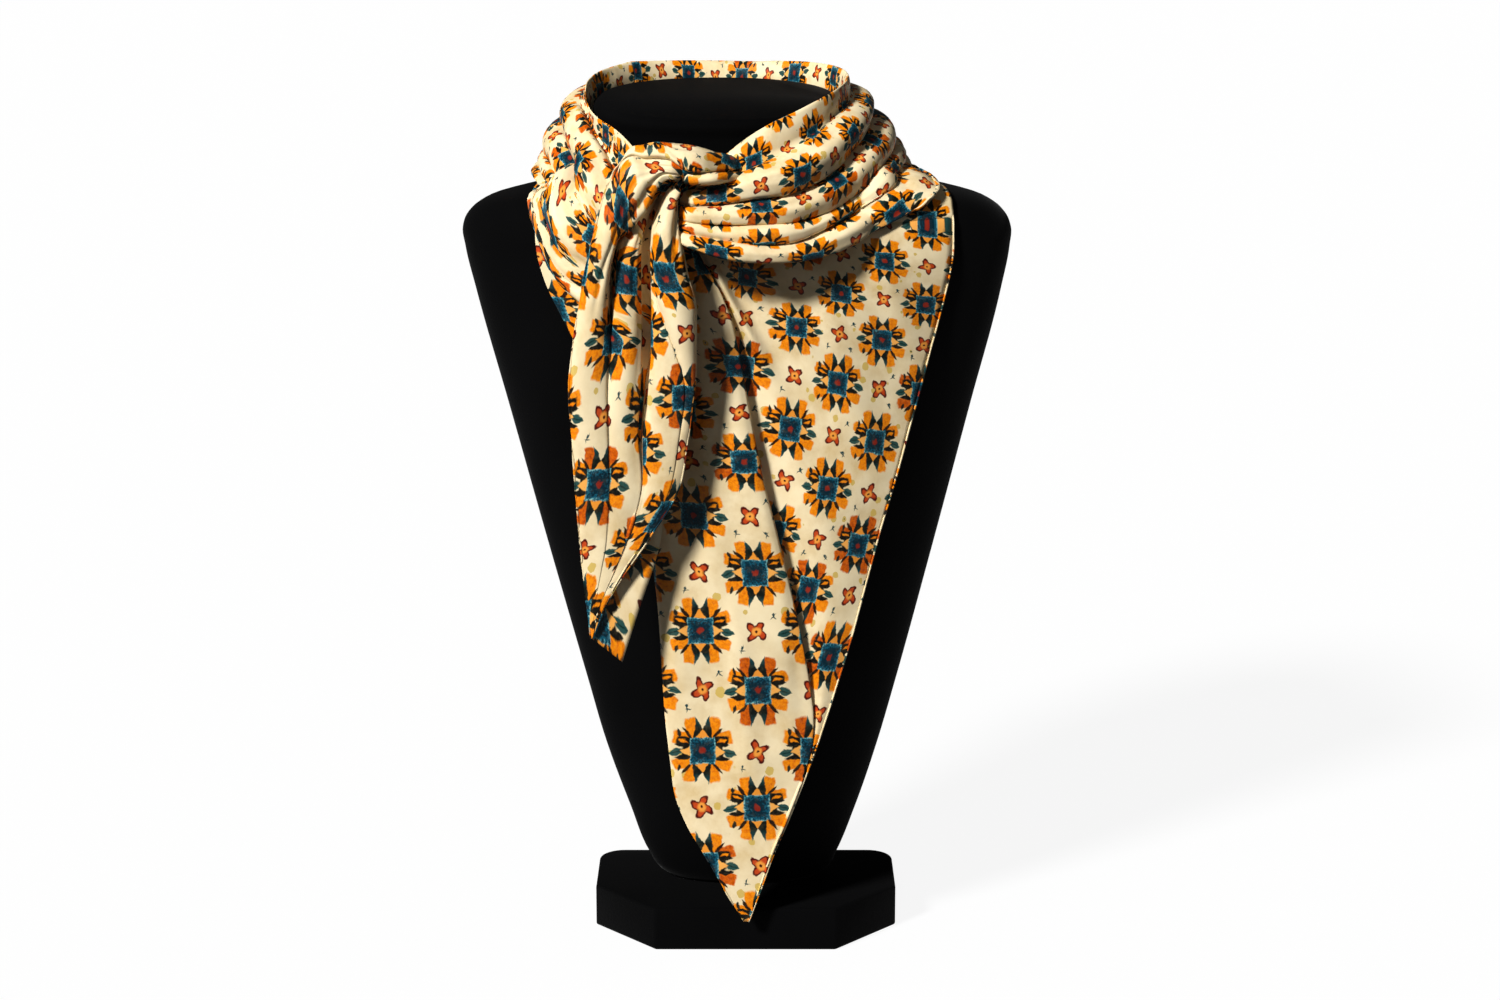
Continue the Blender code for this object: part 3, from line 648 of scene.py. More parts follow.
def form_front(x, z):
    """The form's front surface, as y."""
    half, reach, middle_x, middle_y = form_section(z)
    share = np.clip(np.abs((x - middle_x) / half), 0.0, 0.9999)
    return middle_y - reach * (1 - share**SECTION_POWER) ** (1 / SECTION_POWER)


def from_middle(x, y, z):
    """How far out a place lies in the form's section at its height, with 1 on the surface."""
    half, reach, middle_x, middle_y = form_section(z)
    across = np.abs((x - middle_x) / half) ** SECTION_POWER
    along = np.abs((y - middle_y) / reach) ** SECTION_POWER
    return (across + along) ** (1 / SECTION_POWER)


def form_edge(place, near, far):
    """How far each path runs before it leaves the form. A path gives the place at each distance."""
    for _ in range(30):
        middle = (near + far) / 2
        within = from_middle(*place(middle)) < 1
        near = np.where(within, middle, near)
        far = np.where(within, far, middle)
    return near


def beyond_form(points):
    """How far each point lies outside the form, and the way out; below zero inside."""
    def value(at):
        return from_middle(at[:, 0], at[:, 1], np.minimum(at[:, 2], FORM_TOP - NECK_RIM)) - 1

    nearby = np.eye(3) * PROBE
    slope = np.stack([value(points + offset) - value(points - offset) for offset in nearby], axis=1)
    slope /= 2 * PROBE
    steepness = np.maximum(np.linalg.norm(slope, axis=1), 1e-6)
    return value(points) / steepness, slope / steepness[:, None]


def clear_of_form(grid, clearance, snug=False):
    """The grid with each point at least this far from the form or, if snug, just this far."""
    points = np.array(grid, float)
    flat = points.reshape(-1, 3)
    for _ in range(6):
        distance, outward = beyond_form(flat)
        short = clearance - distance
        if not snug:
            short = np.maximum(short, 0.0)
        short[flat[:, 2] > DISC_BACK] = 0.0
        flat += outward * short[:, None]
    return points


def facing(grid, outward):
    """Unit normals of a grid on the side the cloth faces, and whether they had to be turned."""
    normals = unit(np.cross(np.gradient(grid, axis=0), np.gradient(grid, axis=1)))
    turned = np.mean(np.sum(normals * outward, axis=2)) < 0
    return -normals if turned else normals, turned


def waver(grid, outward, waves, share=1.0):
    """The grid moved along its normals by smooth noise, for each wave of a height, length and seed."""
    moved = 0.0
    for height, length, seed in waves:
        shift = Vector((seed * 7.3, seed * 3.1, seed * 5.7))
        values = [noise.noise(Vector(point) + shift) for point in grid.reshape(-1, 3) / length]
        moved = moved + height * np.array(values).reshape(grid.shape[:2]) * share
    normals, _ = facing(grid, outward)
    return grid + normals * moved[:, :, None]


def fold_profile(steps, lap):
    """How far across and how far out each point of one fold lies, a row per lap.

    With no lap the fold is round. With a full lap its lower side ends in a lip that hangs over the next
    fold and turns under it; with a lap below zero its upper side does.
    """
    lap = np.reshape(np.asarray(lap, float), (-1, 1))
    share = np.linspace(0.0, 1.0, steps + 1)
    even = (1 - np.cos(math.pi * share)) / 2
    round_across = share * (1 - FOLD_SQUARENESS) + even * FOLD_SQUARENESS
    round_rise = np.clip(np.sin(math.pi * share), 0.0, 1.0) ** FOLD_FULLNESS
    body = np.clip(share / LIP_FROM, 0.0, 1.0)
    turn = np.clip((share - LIP_FROM) / (1 - LIP_FROM), 0.0, 1.0) * math.pi / 2
    lapped_across = body + LIP_REACH * np.sin(2 * turn)
    lapped_rise = np.sin(0.75 * math.pi * body) ** FOLD_FULLNESS * np.cos(turn)
    over, under = np.maximum(lap, 0.0), np.maximum(-lap, 0.0)
    sweep = round_across + (lapped_across - round_across) * over
    sweep = sweep + (1 - lapped_across[::-1] - round_across) * under
    rise = round_rise + (lapped_rise - round_rise) * over + (lapped_rise[::-1] - round_rise) * under
    return sweep, rise


def creased(creases, number, at, steps, soften, sway, sway_rate, sway_shift):
    """How far the small creases of one fold move its points, a row per place along the fold."""
    shares = np.linspace(0.0, 1.0, steps + 1)
    moved = np.zeros((len(at), steps + 1))
    for fold, place, start, end, depth, narrow in creases:
        if fold == number:
            drift = (place + sway * np.sin(at * sway_rate + place * sway_shift))[:, None]
            moved -= depth * between(at, start, end, soften)[:, None] * ridge(shares, drift, narrow)
    return moved


def square_to(chord, towards):
    """The unit direction square to each chord, on the side of the given direction."""
    direction = unit(chord)
    return unit(towards - direction * np.sum(direction * towards, axis=1, keepdims=True))


def fold_points(start, end, outward, height, lap, creases, power=1):
    """The points of one fold between two lines, a row per place along it."""
    sweep, rise = fold_profile(creases.shape[1] - 1, lap)
    lift = height[:, None] * rise**power + creases
    return start[:, None] + (end - start)[:, None] * sweep[:, :, None] + outward[:, None] * lift[:, :, None]


def run_along(points):
    """How far each point lies along its row of a grid."""
    lengths = np.linalg.norm(np.diff(points, axis=1), axis=2)
    return np.cumsum(np.pad(lengths, ((0, 0), (1, 0))), axis=1)


def collar_lines(heights, angles, radial):
    """The roll's crest heights and the points of its fold lines at each angle."""
    along_x, along_y, _ = radial.T
    crest, *levels = [column(heights, number, angles) for number in range(1, 7)]
    levels = [np.minimum(crest - LIP_DROP, levels[0])] + levels
    near = np.zeros_like(angles)
    lines = []
    for z, (name, right, left, front, back) in zip(levels, COLLAR_OVALS):
        low = np.minimum(z, FORM_TOP - NECK_RIM)
        radius = form_edge(lambda r: (NECK_X + r * along_x, NECK_Y + r * along_y, low), near, near + 250.0)
        if name == "lip":
            radius = radius + FIRST_LAYER
        else:
            side = np.where(along_x > 0, right, left)
            depth = np.where(along_y < 0, front, back)
            radius = np.maximum(radius + SECOND_LAYER, 1.0 / np.hypot(along_x / side, along_y / depth))
        for line, angle, reach, deep in DEEP_VALLEYS:
            if line == name:
                radius = radius - deep * ridge(angles, angle, reach)
        lines.append(np.stack([NECK_X + radius * along_x, NECK_Y + radius * along_y, z], axis=1))
    return crest, lines


def collar_grid(side, heights, bulges, count, trim_start, trim_end):
    """The collar's folds as a grid, a row per angle, with the print's coordinates."""
    angles = np.linspace(heights[0][0] + trim_start, heights[-1][0] - trim_end, count)
    turn = np.radians(angles)
    radial = np.stack([np.sin(turn), -np.cos(turn), np.zeros_like(turn)], axis=1)
    crest, lines = collar_lines(heights, angles, radial)
    side_share = np.clip((BACK_HEIGHTS[0][0] - np.abs(angles)) / BULGES_MEET, 0.0, 1.0)
    turned_over = between(angles, *LEFT_TURNED_OVER) if side == "left" else np.zeros(count)
    folds, runs = [], []
    for number, (start, end) in enumerate(zip(lines, lines[1:])):
        outward = square_to(end - start, radial)
        bulge = BACK_BULGES[number] + (bulges[number] - BACK_BULGES[number]) * side_share
        if number == 4:
            bulge = bulge * (1.0 - SHOULDER_FLAT * between(np.abs(angles), *SHOULDER_ANGLES))
        height = bulge * np.linalg.norm(end - start, axis=1)
        lap = COLLAR_LAP * (1.0 - TURN_OVER * turned_over)
        if number == 0:
            outward = np.tile(UP, (count, 1))
            height = crest - (start[:, 2] + end[:, 2]) / 2
            lap = np.zeros(count)
        creases = creased(COLLAR_CREASES[side], number + 1, angles, COLLAR_STEPS, *COLLAR_SWAY)
        points = fold_points(start, end, outward, height, lap, creases)
        run = run_along(points)
        run += PRINT_MIDDLES[number] - run[:, COLLAR_STEPS // 2, None]
        folds.append(points[:, min(number, 1):])
        runs.append(run[:, min(number, 1):])
    grid = np.concatenate(folds, axis=1)
    layers = np.where(np.arange(grid.shape[1]) < COLLAR_STEPS, PANEL_LAYER, SECOND_LAYER)
    grid = clear_of_form(grid, np.tile(layers, count))
    if side == "right":
        angle, height, wide, tall, depth = KNOT_HOLLOW
        dive_angle, dive_reach, dive_depth = KNOT_DIVE
        sunk = depth * ridge(angles[:, None], angle, wide) * ridge(grid[:, :, 2], height, tall)
        sunk += dive_depth * ridge(angles[:, None], dive_angle, dive_reach)
        sunk[:, :COLLAR_STEPS] = 0.0
        grid = grid - radial[:, None] * sunk[:, :, None]
    away = np.clip(np.arange(grid.shape[1]) / COLLAR_STEPS - CALM_INSIDE, 0.0, 1.0)
    grid = waver(grid, from_neck(grid), COLLAR_WAVES, away)
    around = turn * PRINT_RADIUS / COLLAR_CELL
    u = np.repeat(around[:, None], grid.shape[1], axis=1)
    v = PRINT_SWAY * np.sin(around[:, None] * SWAY_RATE) - np.concatenate(runs, axis=1) / COLLAR_CELL
    return grid, np.stack([u, v], axis=2)


def panel_grid():
    """The panel's folds as a grid, a row per height, with the print's coordinates."""
    highest = PANEL_ROWS[-1][0]
    heights = np.linspace(PANEL_ROWS[0][0], highest + PANEL_OVERLAP, PANEL_LEVELS + 1)
    marks = np.arange(len(PANEL_SHAPE))
    steps = np.linspace(0.0, marks[-1], PANEL_STEPS + 1)
    zs = np.repeat(heights[:, None], PANEL_STEPS + 1, axis=1)
    left, pleat, right, lift = [column(PANEL_ROWS, number, zs[:, :1]) for number in (1, 2, 3, 4)]
    open_part = np.clip((PLEAT_ALONE - zs[:, :1]) / PLEAT_FADE, 0.0, 1.0)
    across, rises, fades = [np.array(numbers) for numbers in zip(*PANEL_SHAPE)]
    places = left + (pleat - left) * np.minimum(across, 1) + (right - pleat) * np.maximum(across - 1, 0)
    stands_out = lift * rises * np.where(fades, open_part, 1.0)
    xs, lifts = [np.array([smooth(steps, marks, row) for row in rows]) for rows in (places, stands_out)]
    knot_x, knot_z, across, down, pull = KNOT_PULL
    near = np.exp(-(((xs - knot_x) / across) ** 2 + ((zs - knot_z) / down) ** 2) / 2)
    ys = form_front(xs, np.maximum(zs, PROUD_HEIGHT)) - PANEL_LAYER - pull * near - lifts
    for top_x, top_z, foot_x, foot_z, rise, width in PANEL_FOLDS:
        run = (top_z - zs) / (top_z - foot_z)
        middle = top_x + (foot_x - top_x) * run
        spread = width * (FOLD_TOP + FOLD_WIDENS * np.clip(run, 0.0, 1.2))
        ys -= rise * between(run, *FOLD_RUN) * ridge(xs, middle, spread)
    grid = clear_of_form(np.stack([xs, ys, zs], axis=2), PANEL_LAYER)
    lapping = heights > highest
    sunk = PANEL_LAYER - OVERLAP_SINKS * (heights[lapping] - highest) / PANEL_OVERLAP
    grid[lapping] = clear_of_form(grid[lapping], np.repeat(sunk, PANEL_STEPS + 1), snug=True)
    grid = waver(grid, FORWARD, PANEL_WAVES)
    fallen = np.clip(lift - lifts, 0.0, None) * (steps > PLEAT_CREST)
    left_u = (xs - column(LEFT_PRINT, 1, zs) + fallen) / LEFT_SPACING
    left_v = column(LEFT_PRINT, 2, zs) + 1.0
    from_column = xs - column(RIGHT_PRINT, 1, zs)
    right_u = from_column / RIGHT_SPACING + 0.2 * ridge(xs, 2, 12)
    right_v = column(RIGHT_PRINT, 2, zs + RIGHT_TILT * from_column)
    beyond = steps > PLEAT_UNDER
    return grid, np.stack([np.where(beyond, right_u, left_u), np.where(beyond, right_v, left_v)], axis=2)


def shoulder_grid(table, seed):
    """Cloth over one shoulder, resting on the form, from just above the front panel to the back."""
    grid = []
    for share in np.linspace(0.0, 1.0, SHOULDER_LEVELS + 1):
        inner_x, outer_x = [float(column(table, number, share)) for number in (1, 2)]
        xs = np.linspace(inner_x, outer_x, SHOULDER_STEPS + 1)
        front = form_front(xs, SHOULDER_FOOT)
        ys = front + (SHOULDER_BACK - front) * share
        tops = form_edge(lambda z: (xs, ys, z), np.full_like(xs, FORM_SHOULDER), np.full_like(xs, FORM_TOP))
        grid.append(np.stack([xs, ys, tops], axis=1))
    grid = clear_of_form(grid, SHOULDER_LAYER, snug=True)
    grid = waver(grid, UP, ((*SHOULDER_WAVE, seed),))
    _, column_x, row = RIGHT_PRINT[-1]
    u = (grid[:, :, 0] - column_x) / RIGHT_SPACING
    v = row + run_along(grid.transpose(1, 0, 2)).T / RIGHT_SPACING
    return grid, np.stack([u, v], axis=2)


def tie_grid():
    """The strand over the tie and the short end in one grid, with the print's coordinates."""
    rows = np.linspace(0.0, len(TIE_ACROSS) - 1, TIE_LENGTHWISE + 1)
    tables = (TIE_ACROSS, TIE_DEPTHS, TIE_HEIGHTS)
    lines = [np.stack([by_row(table, number, rows) for table in tables], axis=1) for number in range(7)]
    behind = lines[0] + np.stack([by_row(TIE_BEHIND, number, rows) for number in range(3)], axis=1)
    share = np.linspace(0.0, 1.0, TIE_FOLD_STEPS[0] + 1)[:-1]
    shares = np.stack([share, share**3, share], axis=1)
    folds = [behind[:, None] + (lines[0] - behind)[:, None] * shares]
    for number, (start, end) in enumerate(zip(lines, lines[1:])):
        width = np.linalg.norm(end - start, axis=1)
        steps = TIE_FOLD_STEPS[number + 1]
        above, below = TIE_LAPS[number]
        lap = above + (below - above) * np.clip((rows - LAPS_CHANGE) / LAPS_REACH, 0.0, 1.0)
        creases = creased(TIE_CREASES, number, rows, steps, *TIE_SWAY)
        creases *= np.clip(width / FULL_CREASES, 0.0, 1.0)[:, None]
        outward = square_to(end - start, FORWARD)
        height = by_row(TIE_BULGES, number, rows) * width
        power = VALLEY_FLATNESS if number == DEEP_FOLD else 1
        points = fold_points(start, end, outward, height, lap, creases, power)
        folds.append(points if number == 5 else points[:, :-1])
    grid = waver(np.concatenate(folds, axis=1), FORWARD, TIE_WAVES)
    across = run_along(grid)
    from_edge = across - across[:, TIE_FOLD_STEPS[0], None]
    places = []
    for table, distance in ((TIE_PRINT, from_edge), (TIE_PRINT_RIGHT, across - across[:, -1:])):
        u = (distance - column(table, 2, rows)[:, None]) / TIE_CELL
        v = np.repeat(column(table, 1, rows)[:, None], grid.shape[1], axis=1)
        places.append(np.stack([u, v], axis=2))
    beyond = np.arange(grid.shape[1]) > sum(TIE_FOLD_STEPS[:4]) + TIE_FOLD_STEPS[4] / 2
    return grid, np.where(beyond[None, :, None], places[1], places[0])


def under_strand_grid():
    """The small strand under the arch."""
    rows = np.linspace(0.0, len(UNDER_STRAND) - 1, UNDER_LENGTHWISE + 1)
    x, top, bottom, y, out = [by_row(UNDER_STRAND, number, rows)[:, None] for number in range(5)]
    share = np.linspace(0.0, 1.0, UNDER_STEPS + 1)
    turn = math.pi * (share * UNDER_TURN - (UNDER_TURN - 1) / 2)
    z = (top + bottom) / 2 + (top - bottom) / 2 * np.cos(turn)
    x = np.repeat(x, UNDER_STEPS + 1, axis=1)
    u = x / TIE_CELL + 0.2
    v = np.broadcast_to(-0.25 - 0.55 * share, u.shape)
    return np.stack([x, y - out * np.sin(turn), z], axis=2), np.stack([u, v], axis=2)


def grid_faces(rows, columns, closed=False):
    """The faces of a grid of points; a closed grid joins its last column to its first."""
    index = np.arange(rows * columns).reshape(rows, columns)
    if closed:
        index = np.concatenate([index, index[:, :1]], axis=1)
    corners = (index[:-1, :-1], index[:-1, 1:], index[1:, 1:], index[1:, :-1])
    return np.stack([corner.ravel() for corner in corners], axis=1)


def new_mesh(name, points, faces):
    mesh = bpy.data.meshes.new(name)
    mesh.from_pydata((points * MM).reshape(-1, 3).tolist(), [], faces)
    return mesh


def placed(name, data):
    made = bpy.data.objects.new(name, data)
    bpy.context.scene.collection.objects.link(made)
    return made


def tube(name, rings):
    """A closed body through rings of points, with a flat end at the first and the last."""
    count, size = rings.shape[:2]
    faces = grid_faces(count, size, closed=True).tolist()
    faces += [list(range(size))[::-1], list(range((count - 1) * size, count * size))]
    mesh = new_mesh(name, rings, faces)
    solid = bmesh.new()
    solid.from_mesh(mesh)
    bmesh.ops.recalc_face_normals(solid, faces=solid.faces)
    solid.to_mesh(mesh)
    solid.free()
    return mesh


def print_on(mesh, print_at):
    """The print's coordinates, one place for each point of the mesh, as its UV layer."""
    layer = mesh.uv_layers.new(name="cloth")
    corners = np.zeros(len(mesh.loops), dtype=np.int32)
    mesh.loops.foreach_get("vertex_index", corners)
    layer.data.foreach_set("uv", print_at.reshape(-1, 2)[corners].astype(np.float32).ravel())


def link(mesh, look):
    made = placed(mesh.name, mesh)
    mesh.materials.append(look)
    mesh.shade_smooth()
    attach(made, "root")
    return made


def cloth(name, grid, print_at, outward):
    """A thin shell whose outer face is the grid, with the print's coordinates on its UV layer."""
    faces = grid_faces(*grid.shape[:2])
    _, turned = facing(grid, outward)
    if not turned:
        faces = faces[:, ::-1]
    mesh = new_mesh(name, grid, faces.tolist())
    print_on(mesh, print_at)
    made = link(mesh, silk)
    thicken = made.modifiers.new("thickness", "SOLIDIFY")
    thicken.thickness = SILK_THICKNESS * MM
    thicken.offset = -1.0
    return made


def rolled_hem(name, edge, print_at):
    """A narrow rolled hem along an edge of a sheet."""
    along = unit(np.gradient(edge, axis=0))
    first = unit(np.cross(along, FORWARD))[:, None]
    second = np.cross(along, first[:, 0])[:, None]
    sides = np.arange(HEM_SIDES)[:, None]
    turn = 2 * math.pi * sides / HEM_SIDES
    mesh = tube(name, edge[:, None] + (first * np.cos(turn) + second * np.sin(turn)) * HEM_RADIUS)
    print_on(mesh, print_at[:, None] + sides * (HEM_PRINT, 0))
    return link(mesh, silk)


class Value:
    """A number or colour worked out by shader nodes. Its sums and products add nodes to its tree."""

    def __init__(self, tree, socket):
        self.tree = tree
        self.socket = socket

    def __add__(self, other):
        return maths("ADD", self, other)

    def __sub__(self, other):
        return maths("SUBTRACT", self, other)

    def __rsub__(self, other):
        return maths("SUBTRACT", other, self)

    def __mul__(self, other):
        return maths("MULTIPLY", self, other)

    def __abs__(self):
        return maths("ABSOLUTE", self)


def wire(tree, sockets, values):
    """Each socket set to its constant or linked to its value."""
    for socket, value in zip(sockets, values):
        if isinstance(value, Value):
            tree.links.new(value.socket, socket)
        else:
            socket.default_value = value


def add_node(tree, kind, **inputs):
    """A new node, with some inputs given by name."""
    node = tree.nodes.new("ShaderNode" + kind)
    wire(tree, [node.inputs[name] for name in inputs], inputs.values())
    return node


def maths(operation, *values, clamp=False):
    """A maths node on values and numbers."""
    tree = [value.tree for value in values if isinstance(value, Value)][0]
    node = add_node(tree, "Math")
    node.operation = operation
    node.use_clamp = clamp
    wire(tree, node.inputs, values)
    return Value(tree, node.outputs[0])


def ramp(value, slope, start):
    """A straight ramp of a value, kept between 0 and 1."""
    return maths("MULTIPLY_ADD", value, slope, start, clamp=True)


def inside(depth, soft=EDGE_SOFT):
    """1 where a shape's depth is above zero, over a soft edge."""
    return ramp(depth, 1.0 / soft, 0.5)


def above(value, limit):
    return maths("GREATER_THAN", value, limit)


def radius_at(x, y):
    return maths("SQRT", x * x + y * y)


def turned_axes(x, y, at_x, at_y, angle):
    """Coordinates along and across an axis through a place."""
    dx, dy = x - at_x, y - at_y
    cos, sin = math.cos(math.radians(angle)), math.sin(math.radians(angle))
    return dx * cos + dy * sin, dy * cos - dx * sin


def leaf(x, y, at_x, at_y, angle, half_length, half_width, soft=EDGE_SOFT):
    """A pointed leaf about a place."""
    along, across = turned_axes(x, y, at_x, at_y, angle)
    reach = along * (1.0 / half_length)
    return inside((1.0 - reach * reach) * half_width - abs(across), soft)


def block(x, y, at_x, at_y, angle, half_length, half_width):
    """A block with rounded corners about a place."""
    along, across = turned_axes(x, y, at_x, at_y, angle)
    a = maths("POWER", abs(along * (1.0 / half_length)), BLOCK_POWER)
    b = maths("POWER", abs(across * (1.0 / half_width)), BLOCK_POWER)
    reach = maths("POWER", a + b, 1.0 / BLOCK_POWER)
    return inside((1.0 - reach) * min(half_length, half_width))


def wedge(x, y, start, end, half_width):
    """A triangle on the y axis, wide at its start and pointed at its end."""
    run = (end - y) * (half_width / (end - start))
    return inside(maths("MINIMUM", run - abs(x), y - start))


def linear(colour):
    """Three numbers from 0 to 255 as a linear colour; a value as it is."""
    return (*[(part / 255) ** 2.2 for part in colour], 1.0) if isinstance(colour, tuple) else colour


def paint(look, *layers):
    """A colour with others over it in turn, each where its mask is 1."""
    for colour, mask in layers:
        node = add_node(mask.tree, "Mix")
        node.data_type = "RGBA"
        sockets = (node.inputs["Factor"], node.inputs[6], node.inputs[7])
        wire(mask.tree, sockets, (mask, linear(look), linear(colour)))
        look = Value(mask.tree, node.outputs[2])
    return look


def noise_of(place, scale, detail=2.0, roughness=0.5, output="Fac"):
    """Noise over a place."""
    node = add_node(place.tree, "TexNoise", Scale=scale, Detail=detail, Roughness=roughness, Vector=place)
    return Value(place.tree, node.outputs[output])


def parts_of(tree, kind, socket):
    """The three parts of a colour or of a place."""
    node = add_node(tree, kind)
    tree.links.new(socket, node.inputs[0])
    return [Value(tree, output) for output in node.outputs]


def repeat(u, v, offset):
    """Coordinates from the nearest motif of a diagonal lattice, and three random numbers of its own."""
    a = (u + v) * 0.5 + offset
    b = (u - v) * 0.5 + offset
    near_a, near_b = maths("ROUND", a), maths("ROUND", b)
    joined = add_node(u.tree, "CombineXYZ", X=near_a, Y=near_b)
    lots = add_node(u.tree, "TexWhiteNoise", Vector=Value(u.tree, joined.outputs[0]))
    from_a, from_b = a - near_a, b - near_b
    return from_a + from_b, from_a - from_b, parts_of(u.tree, "SeparateColor", lots.outputs["Color"])


def new_material(name, values):
    """A material and its shader, with constants on the shader's own sockets."""
    made = bpy.data.materials.new(name)
    made.use_nodes = True
    shader = made.node_tree.nodes["Principled BSDF"]
    for socket, value in values.items():
        shader.inputs[socket].default_value = value
    return made, shader


def coat(shader, look, height, strength, distance):
    """Gives a shader its colour and a fine bump."""
    bump = add_node(look.tree, "Bump", Strength=strength, Distance=distance, Height=height)
    normal = Value(look.tree, bump.outputs["Normal"])
    wire(look.tree, (shader.inputs["Base Color"], shader.inputs["Normal"]), (look, normal))


def ground(place, shifted):
    """The cream ground with its stains and flecks."""
    flecks = add_node(place.tree, "TexVoronoi", Scale=3.3, Vector=shifted)
    distance = Value(place.tree, flecks.outputs["Distance"])
    lot = parts_of(place.tree, "SeparateColor", flecks.outputs["Color"])
    return paint(
        (240, 222, 184),
        ((212, 185, 134), ramp(noise_of(place, 1.7, 5, 0.6), 2.6, -1)),
        ((244, 228, 191), ramp(noise_of(place, 0.55), 3, -1.3)),
        ((208, 178, 88), inside(lot[0] * 0.36 - 0.06 - distance, 0.03) * 0.85),
        ((38, 74, 78), inside(lot[1] * 0.2 - 0.135 - distance, 0.02)),
    )


def flowers(look, x, y, lot):
    """Small four-petalled flowers, each with a few sprigs round it."""
    reach = radius_at(x, y)
    twist = reach * 1.6 + lot[0]
    lobes = maths("COSINE", (maths("ARCTAN2", y, x) + twist) * 4.0)
    depth = lobes * 0.058 + 0.162 - reach
    look = paint(
        look,
        ((86, 20, 16), inside(depth, 0.02)),
        ((196, 78, 34), inside(depth - 0.046, 0.03)),
        ((240, 164, 74), inside(0.078 - reach, 0.04)),
        ((70, 20, 14), inside(0.022 - reach, 0.016)),
    )
    for at_x, at_y, angle, number, limit in SPRIGS:
        stem = leaf(x, y, at_x, at_y, angle, 0.075, 0.011, 0.012)
        branch = leaf(x, y, at_x + 0.02, at_y - 0.015, angle - 75, 0.055, 0.010, 0.012)
        head = leaf(x, y, at_x, at_y + 0.03, angle + 20, 0.034, 0.022, 0.014)
        sprig = maths("MAXIMUM", maths("MAXIMUM", stem, branch), head)
        look = paint(look, ((34, 70, 74), sprig * above(lot[number], limit)))
    return look


def medallions(look, place, x, y, lot):
    """Star medallions: petals and leaves round a blue square."""
    wide, tall, reach = abs(x), abs(y), radius_at(x, y)
    charcoal = (22, 22, 18)
    streak = noise_of(place, 16, 3, 0.7)
    deeper = ramp(streak, 3.2, -1.35)
    orange = paint((242, 150, 14), ((208, 104, 4), deeper))
    rust = paint((214, 108, 8), ((156, 58, 10), deeper))
    upper = above(y, 0.0)
    outer = tall * -0.10 + 0.19 - wide
    inner = wide - (tall * 0.62 - 0.225)
    v_leaf = inside(maths("MINIMUM", maths("MINIMUM", outer, inner), tall - 0.2))
    corner = maths("MAXIMUM", wide * 0.97, tall)
    grain = noise_of(place, 24, 2, 0.7) - 0.5
    blotch = (streak - 0.5) * 0.10
    return paint(
        look,
        # Petals on their dark ground, and the leaves between them
        (charcoal, inside(0.375 - reach, 0.03)),
        (paint(orange, (rust, above(lot[0], 0.8))), block(wide, tall, 0.205, 0.37, 80, 0.185, 0.103)),
        (paint(orange, (rust, above(lot[1], 0.75))), block(wide, tall, 0.37, 0.215, 14, 0.17, 0.102)),
        ((44, 28, 18), leaf(wide, tall, 0.275, 0.295, 47, 0.14, 0.032)),
        (charcoal, block(wide, tall, 0.33, 0.165, 6, 0.14, 0.078) * upper),
        (orange, leaf(wide, tall, 0.345, 0.165, 20, 0.10, 0.034) * upper),
        (charcoal, leaf(wide, tall, 0.345, 0.115, 2, 0.16, 0.042)),
        ((40, 42, 38), leaf(x, tall, -0.43, 0.305, 105, 0.07, 0.032)),
        ((48, 84, 80), leaf(wide, y, 0.48, -0.02, -14, 0.14, 0.068)),
        ((20, 48, 46), leaf(wide, y, 0.475, -0.02, -14, 0.12, 0.010)),
        (paint((22, 30, 26), ((34, 84, 88), ramp(tall, 6, -2.3))), v_leaf),
        ((236, 156, 62), wedge(wide, tall, 0.205, 0.37, 0.125)),
        ((242, 176, 92), wedge(tall, wide, 0.21, 0.41, 0.115)),
        # The square, from its pale rim to its red middle
        (paint((34, 104, 120), ((140, 198, 196), ramp(streak, 6, -2.5))), inside(0.225 - corner)),
        ((24, 94, 114), inside(0.208 - (corner + grain * 0.10), 0.02)),
        ((6, 32, 42), inside(0.168 - (corner + grain * 0.46), 0.06) * 0.85),
        ((142, 48, 34), inside(blotch + 0.055 - reach, 0.025)),
    )


def printed_silk():
    """Cream silk with a checkerboard of star medallions and small flowers."""
    made, shader = new_material(
        "printed_silk",
        {"Roughness": 0.46, "Specular IOR Level": 0.12, "Sheen Weight": 0.01, "Sheen Roughness": 0.4},
    )
    tree = made.node_tree
    layer = add_node(tree, "UVMap")
    layer.uv_map = "cloth"
    place = Value(tree, layer.outputs[0])
    shift = add_node(tree, "VectorMath")
    shift.operation = "MULTIPLY_ADD"
    ragged = noise_of(place, 5, 3, 0.6, "Color")
    wire(tree, shift.inputs, (ragged, (RAGGED, RAGGED, 0.0), place))
    u, v, _ = [part - RAGGED / 2 for part in parts_of(tree, "SeparateXYZ", shift.outputs[0])]
    look = ground(place, Value(tree, shift.outputs[0]))
    look = flowers(look, *repeat(u, v, 0.5))
    look = medallions(look, place, *repeat(u, v, 0.0))
    look = paint(look, ((226, 198, 146), ramp(noise_of(place, 9, 4, 0.65), 1.3, -0.62) * 0.2))
    coat(shader, look, noise_of(place, 60), 0.12, 0.0003)
    return made


def black_velvet():
    """Short-napped black velvet: nearly no shine, and a faint soft edge light."""
    made, shader = new_material(
        "black_velvet",
        {"Roughness": 0.9, "Specular IOR Level": 0.08, "Sheen Weight": 0.04, "Sheen Roughness": 0.35},
    )
    place = Value(made.node_tree, add_node(made.node_tree, "TexCoord").outputs["Object"])
    look = paint((6, 6, 7), ((15, 15, 16), ramp(noise_of(place, 18, 3), 1.6, -0.4)))
    coat(shader, look, noise_of(place, 900, 2, 0.6), 0.35, 0.0004)
    return made


